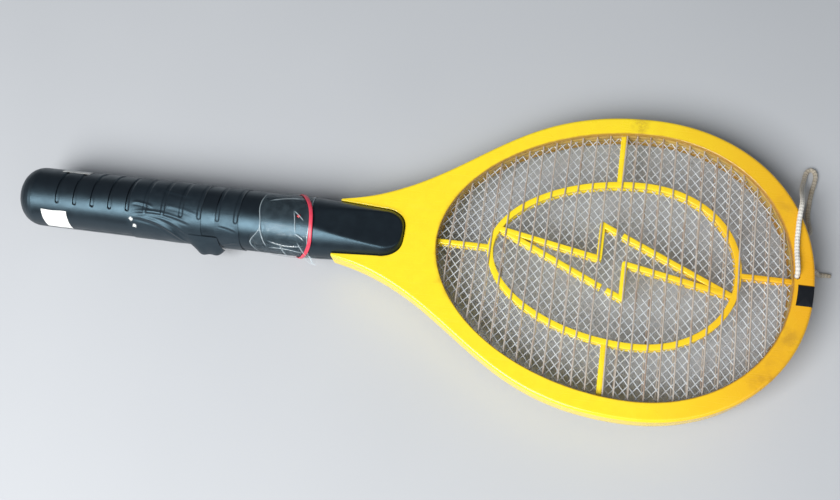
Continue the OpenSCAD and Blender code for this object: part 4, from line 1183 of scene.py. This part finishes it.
def board_finish():
    """Green solder resist over copper tracks, seen as faint paler lines."""
    f = Finish("board_green")
    tracks = f.node("ShaderNodeTexBrick", {
        "Vector": f.where, "Scale": 260.0, "Mortar Size": 0.03, "Color1": (0.02, 0.15, 0.05, 1),
        "Color2": (0.02, 0.13, 0.045, 1), "Mortar": (0.05, 0.26, 0.09, 1)}).outputs[0]
    return f.surface({
        "Base Color": f.mix(f.times(f.grain(90), 0.4), tracks, (0.03, 0.18, 0.07)),
        "Roughness": f.patches(300, 0.25, 0.4)})


STEEL = metal("plated_steel", (0.55, 0.55, 0.54), (0.68, 0.68, 0.66), (0.25, 0.4), 300, 1.0)
BRASS = metal("plated_brass", (0.60, 0.45, 0.18), (0.72, 0.56, 0.26), (0.25, 0.42), 300, 1.0)
COPPER = metal("enamelled_copper", (0.42, 0.14, 0.04), (0.55, 0.22, 0.07), (0.22, 0.35), 500, 0.9)
CELL = metal("cell_sleeve", (0.42, 0.30, 0.07), (0.58, 0.44, 0.13), (0.3, 0.45), 60, 0.5)
PART_BLACK = plastic("part_black", (0.02, 0.02, 0.021), (0.045, 0.045, 0.048), (0.4, 0.6), 300)
BROWN = plastic("capacitor_brown", (0.30, 0.07, 0.03), (0.42, 0.13, 0.06), (0.25, 0.4), 300)
TAN = plastic("resistor_tan", (0.52, 0.38, 0.20), (0.66, 0.50, 0.30), (0.35, 0.5), 500)
LEAD_RED = plastic("lead_red", (0.42, 0.02, 0.02), (0.55, 0.04, 0.04), (0.4, 0.55), 400)
LEAD_BLACK = plastic("lead_black", (0.02, 0.02, 0.02), (0.04, 0.04, 0.04), (0.4, 0.55), 400)

dress(["end_cap"], CAP_BLACK)
dress(["push_button"], BUTTON_BLACK)
dress(["indicator_lamp"], lamp_finish())
dress(["circuit_board", "switch_board"], board_finish())
dress(["handle_screws", "yoke_screws", "rim_screws"], STEEL)
dress(["cap_contact_disc", "cap_contact_spring", "button_spring"], STEEL)
dress(["positive_contact", "return_strip"], BRASS)
dress(["transformer_winding"], COPPER)
dress(["battery_rear", "battery_front"], CELL)
dress(["transformer_core", "tact_switch", "rectifier_diodes", "drive_transistor"], PART_BLACK)
dress(["storage_capacitor", "film_capacitors"], BROWN)
dress(["resistors"], TAN)
dress(["battery_leads", "mesh_lead"], LEAD_RED)
dress(["grid_lead"], LEAD_BLACK)

# ---------- floor and light ----------


def floor():
    """A wide pale sheet, very slightly uneven in tone."""
    f = Finish("floor_pale")
    pale = f.surface({
        "Base Color": f.ramp(f.grain(3, 3), [(0.3, (0.47, 0.49, 0.52)), (0.7, (0.50, 0.52, 0.55))]),
        "Roughness": 0.75})
    n = np.linspace(-3000, 3000, 13)
    grid = np.stack([*np.meshgrid(n, n, indexing="ij"), np.full((13, 13), FLOOR_Z)], -1)
    below = grid - (0, 0, 20.0)
    obj = bpy.data.objects.new("floor", mesh_of("floor", [shell(grid, below)]))
    obj.data.materials.append(pale)
    bpy.context.scene.collection.objects.link(obj)


def soft_box(name, place, aim, size, watts, tint):
    """A square soft light that points at a place."""
    light = bpy.data.lights.new(name, "AREA")
    light.shape, light.size, light.size_y = "RECTANGLE", size[0], size[1]
    light.energy, light.color = watts, tint
    lamp = bpy.data.objects.new(name, light)
    place, aim = np.array(place, float), np.array(aim, float)
    back = unit(place - aim)
    right = unit(np.cross((0.0, 0.0, 1.0), back))
    m = np.eye(4)
    m[:3, 0], m[:3, 1], m[:3, 2], m[:3, 3] = right, np.cross(back, right), back, place
    lamp.matrix_world = Matrix(m.tolist())
    bpy.context.scene.collection.objects.link(lamp)


def studio():
    """Soft daylight from the near left, a weak fill, and a grey surround."""
    world = bpy.data.worlds.new("surround")
    world.use_nodes = True
    colour, strength = world.node_tree.nodes["Background"].inputs[:2]
    colour.default_value, strength.default_value = (0.60, 0.68, 0.78, 1), 0.17
    bpy.context.scene.world = world
    soft_box("window", (-0.30, -0.92, 1.22), (0.27, 0.0, 0.0), (1.15, 1.0), 43, (1.0, 0.99, 0.97))
    soft_box("fill", (1.3, -0.9, 1.3), (0.30, 0.0, 0.0), (1.2, 1.2), 4, (0.92, 0.96, 1.0))
    bpy.context.scene.view_settings.view_transform = "Standard"


floor()
studio()
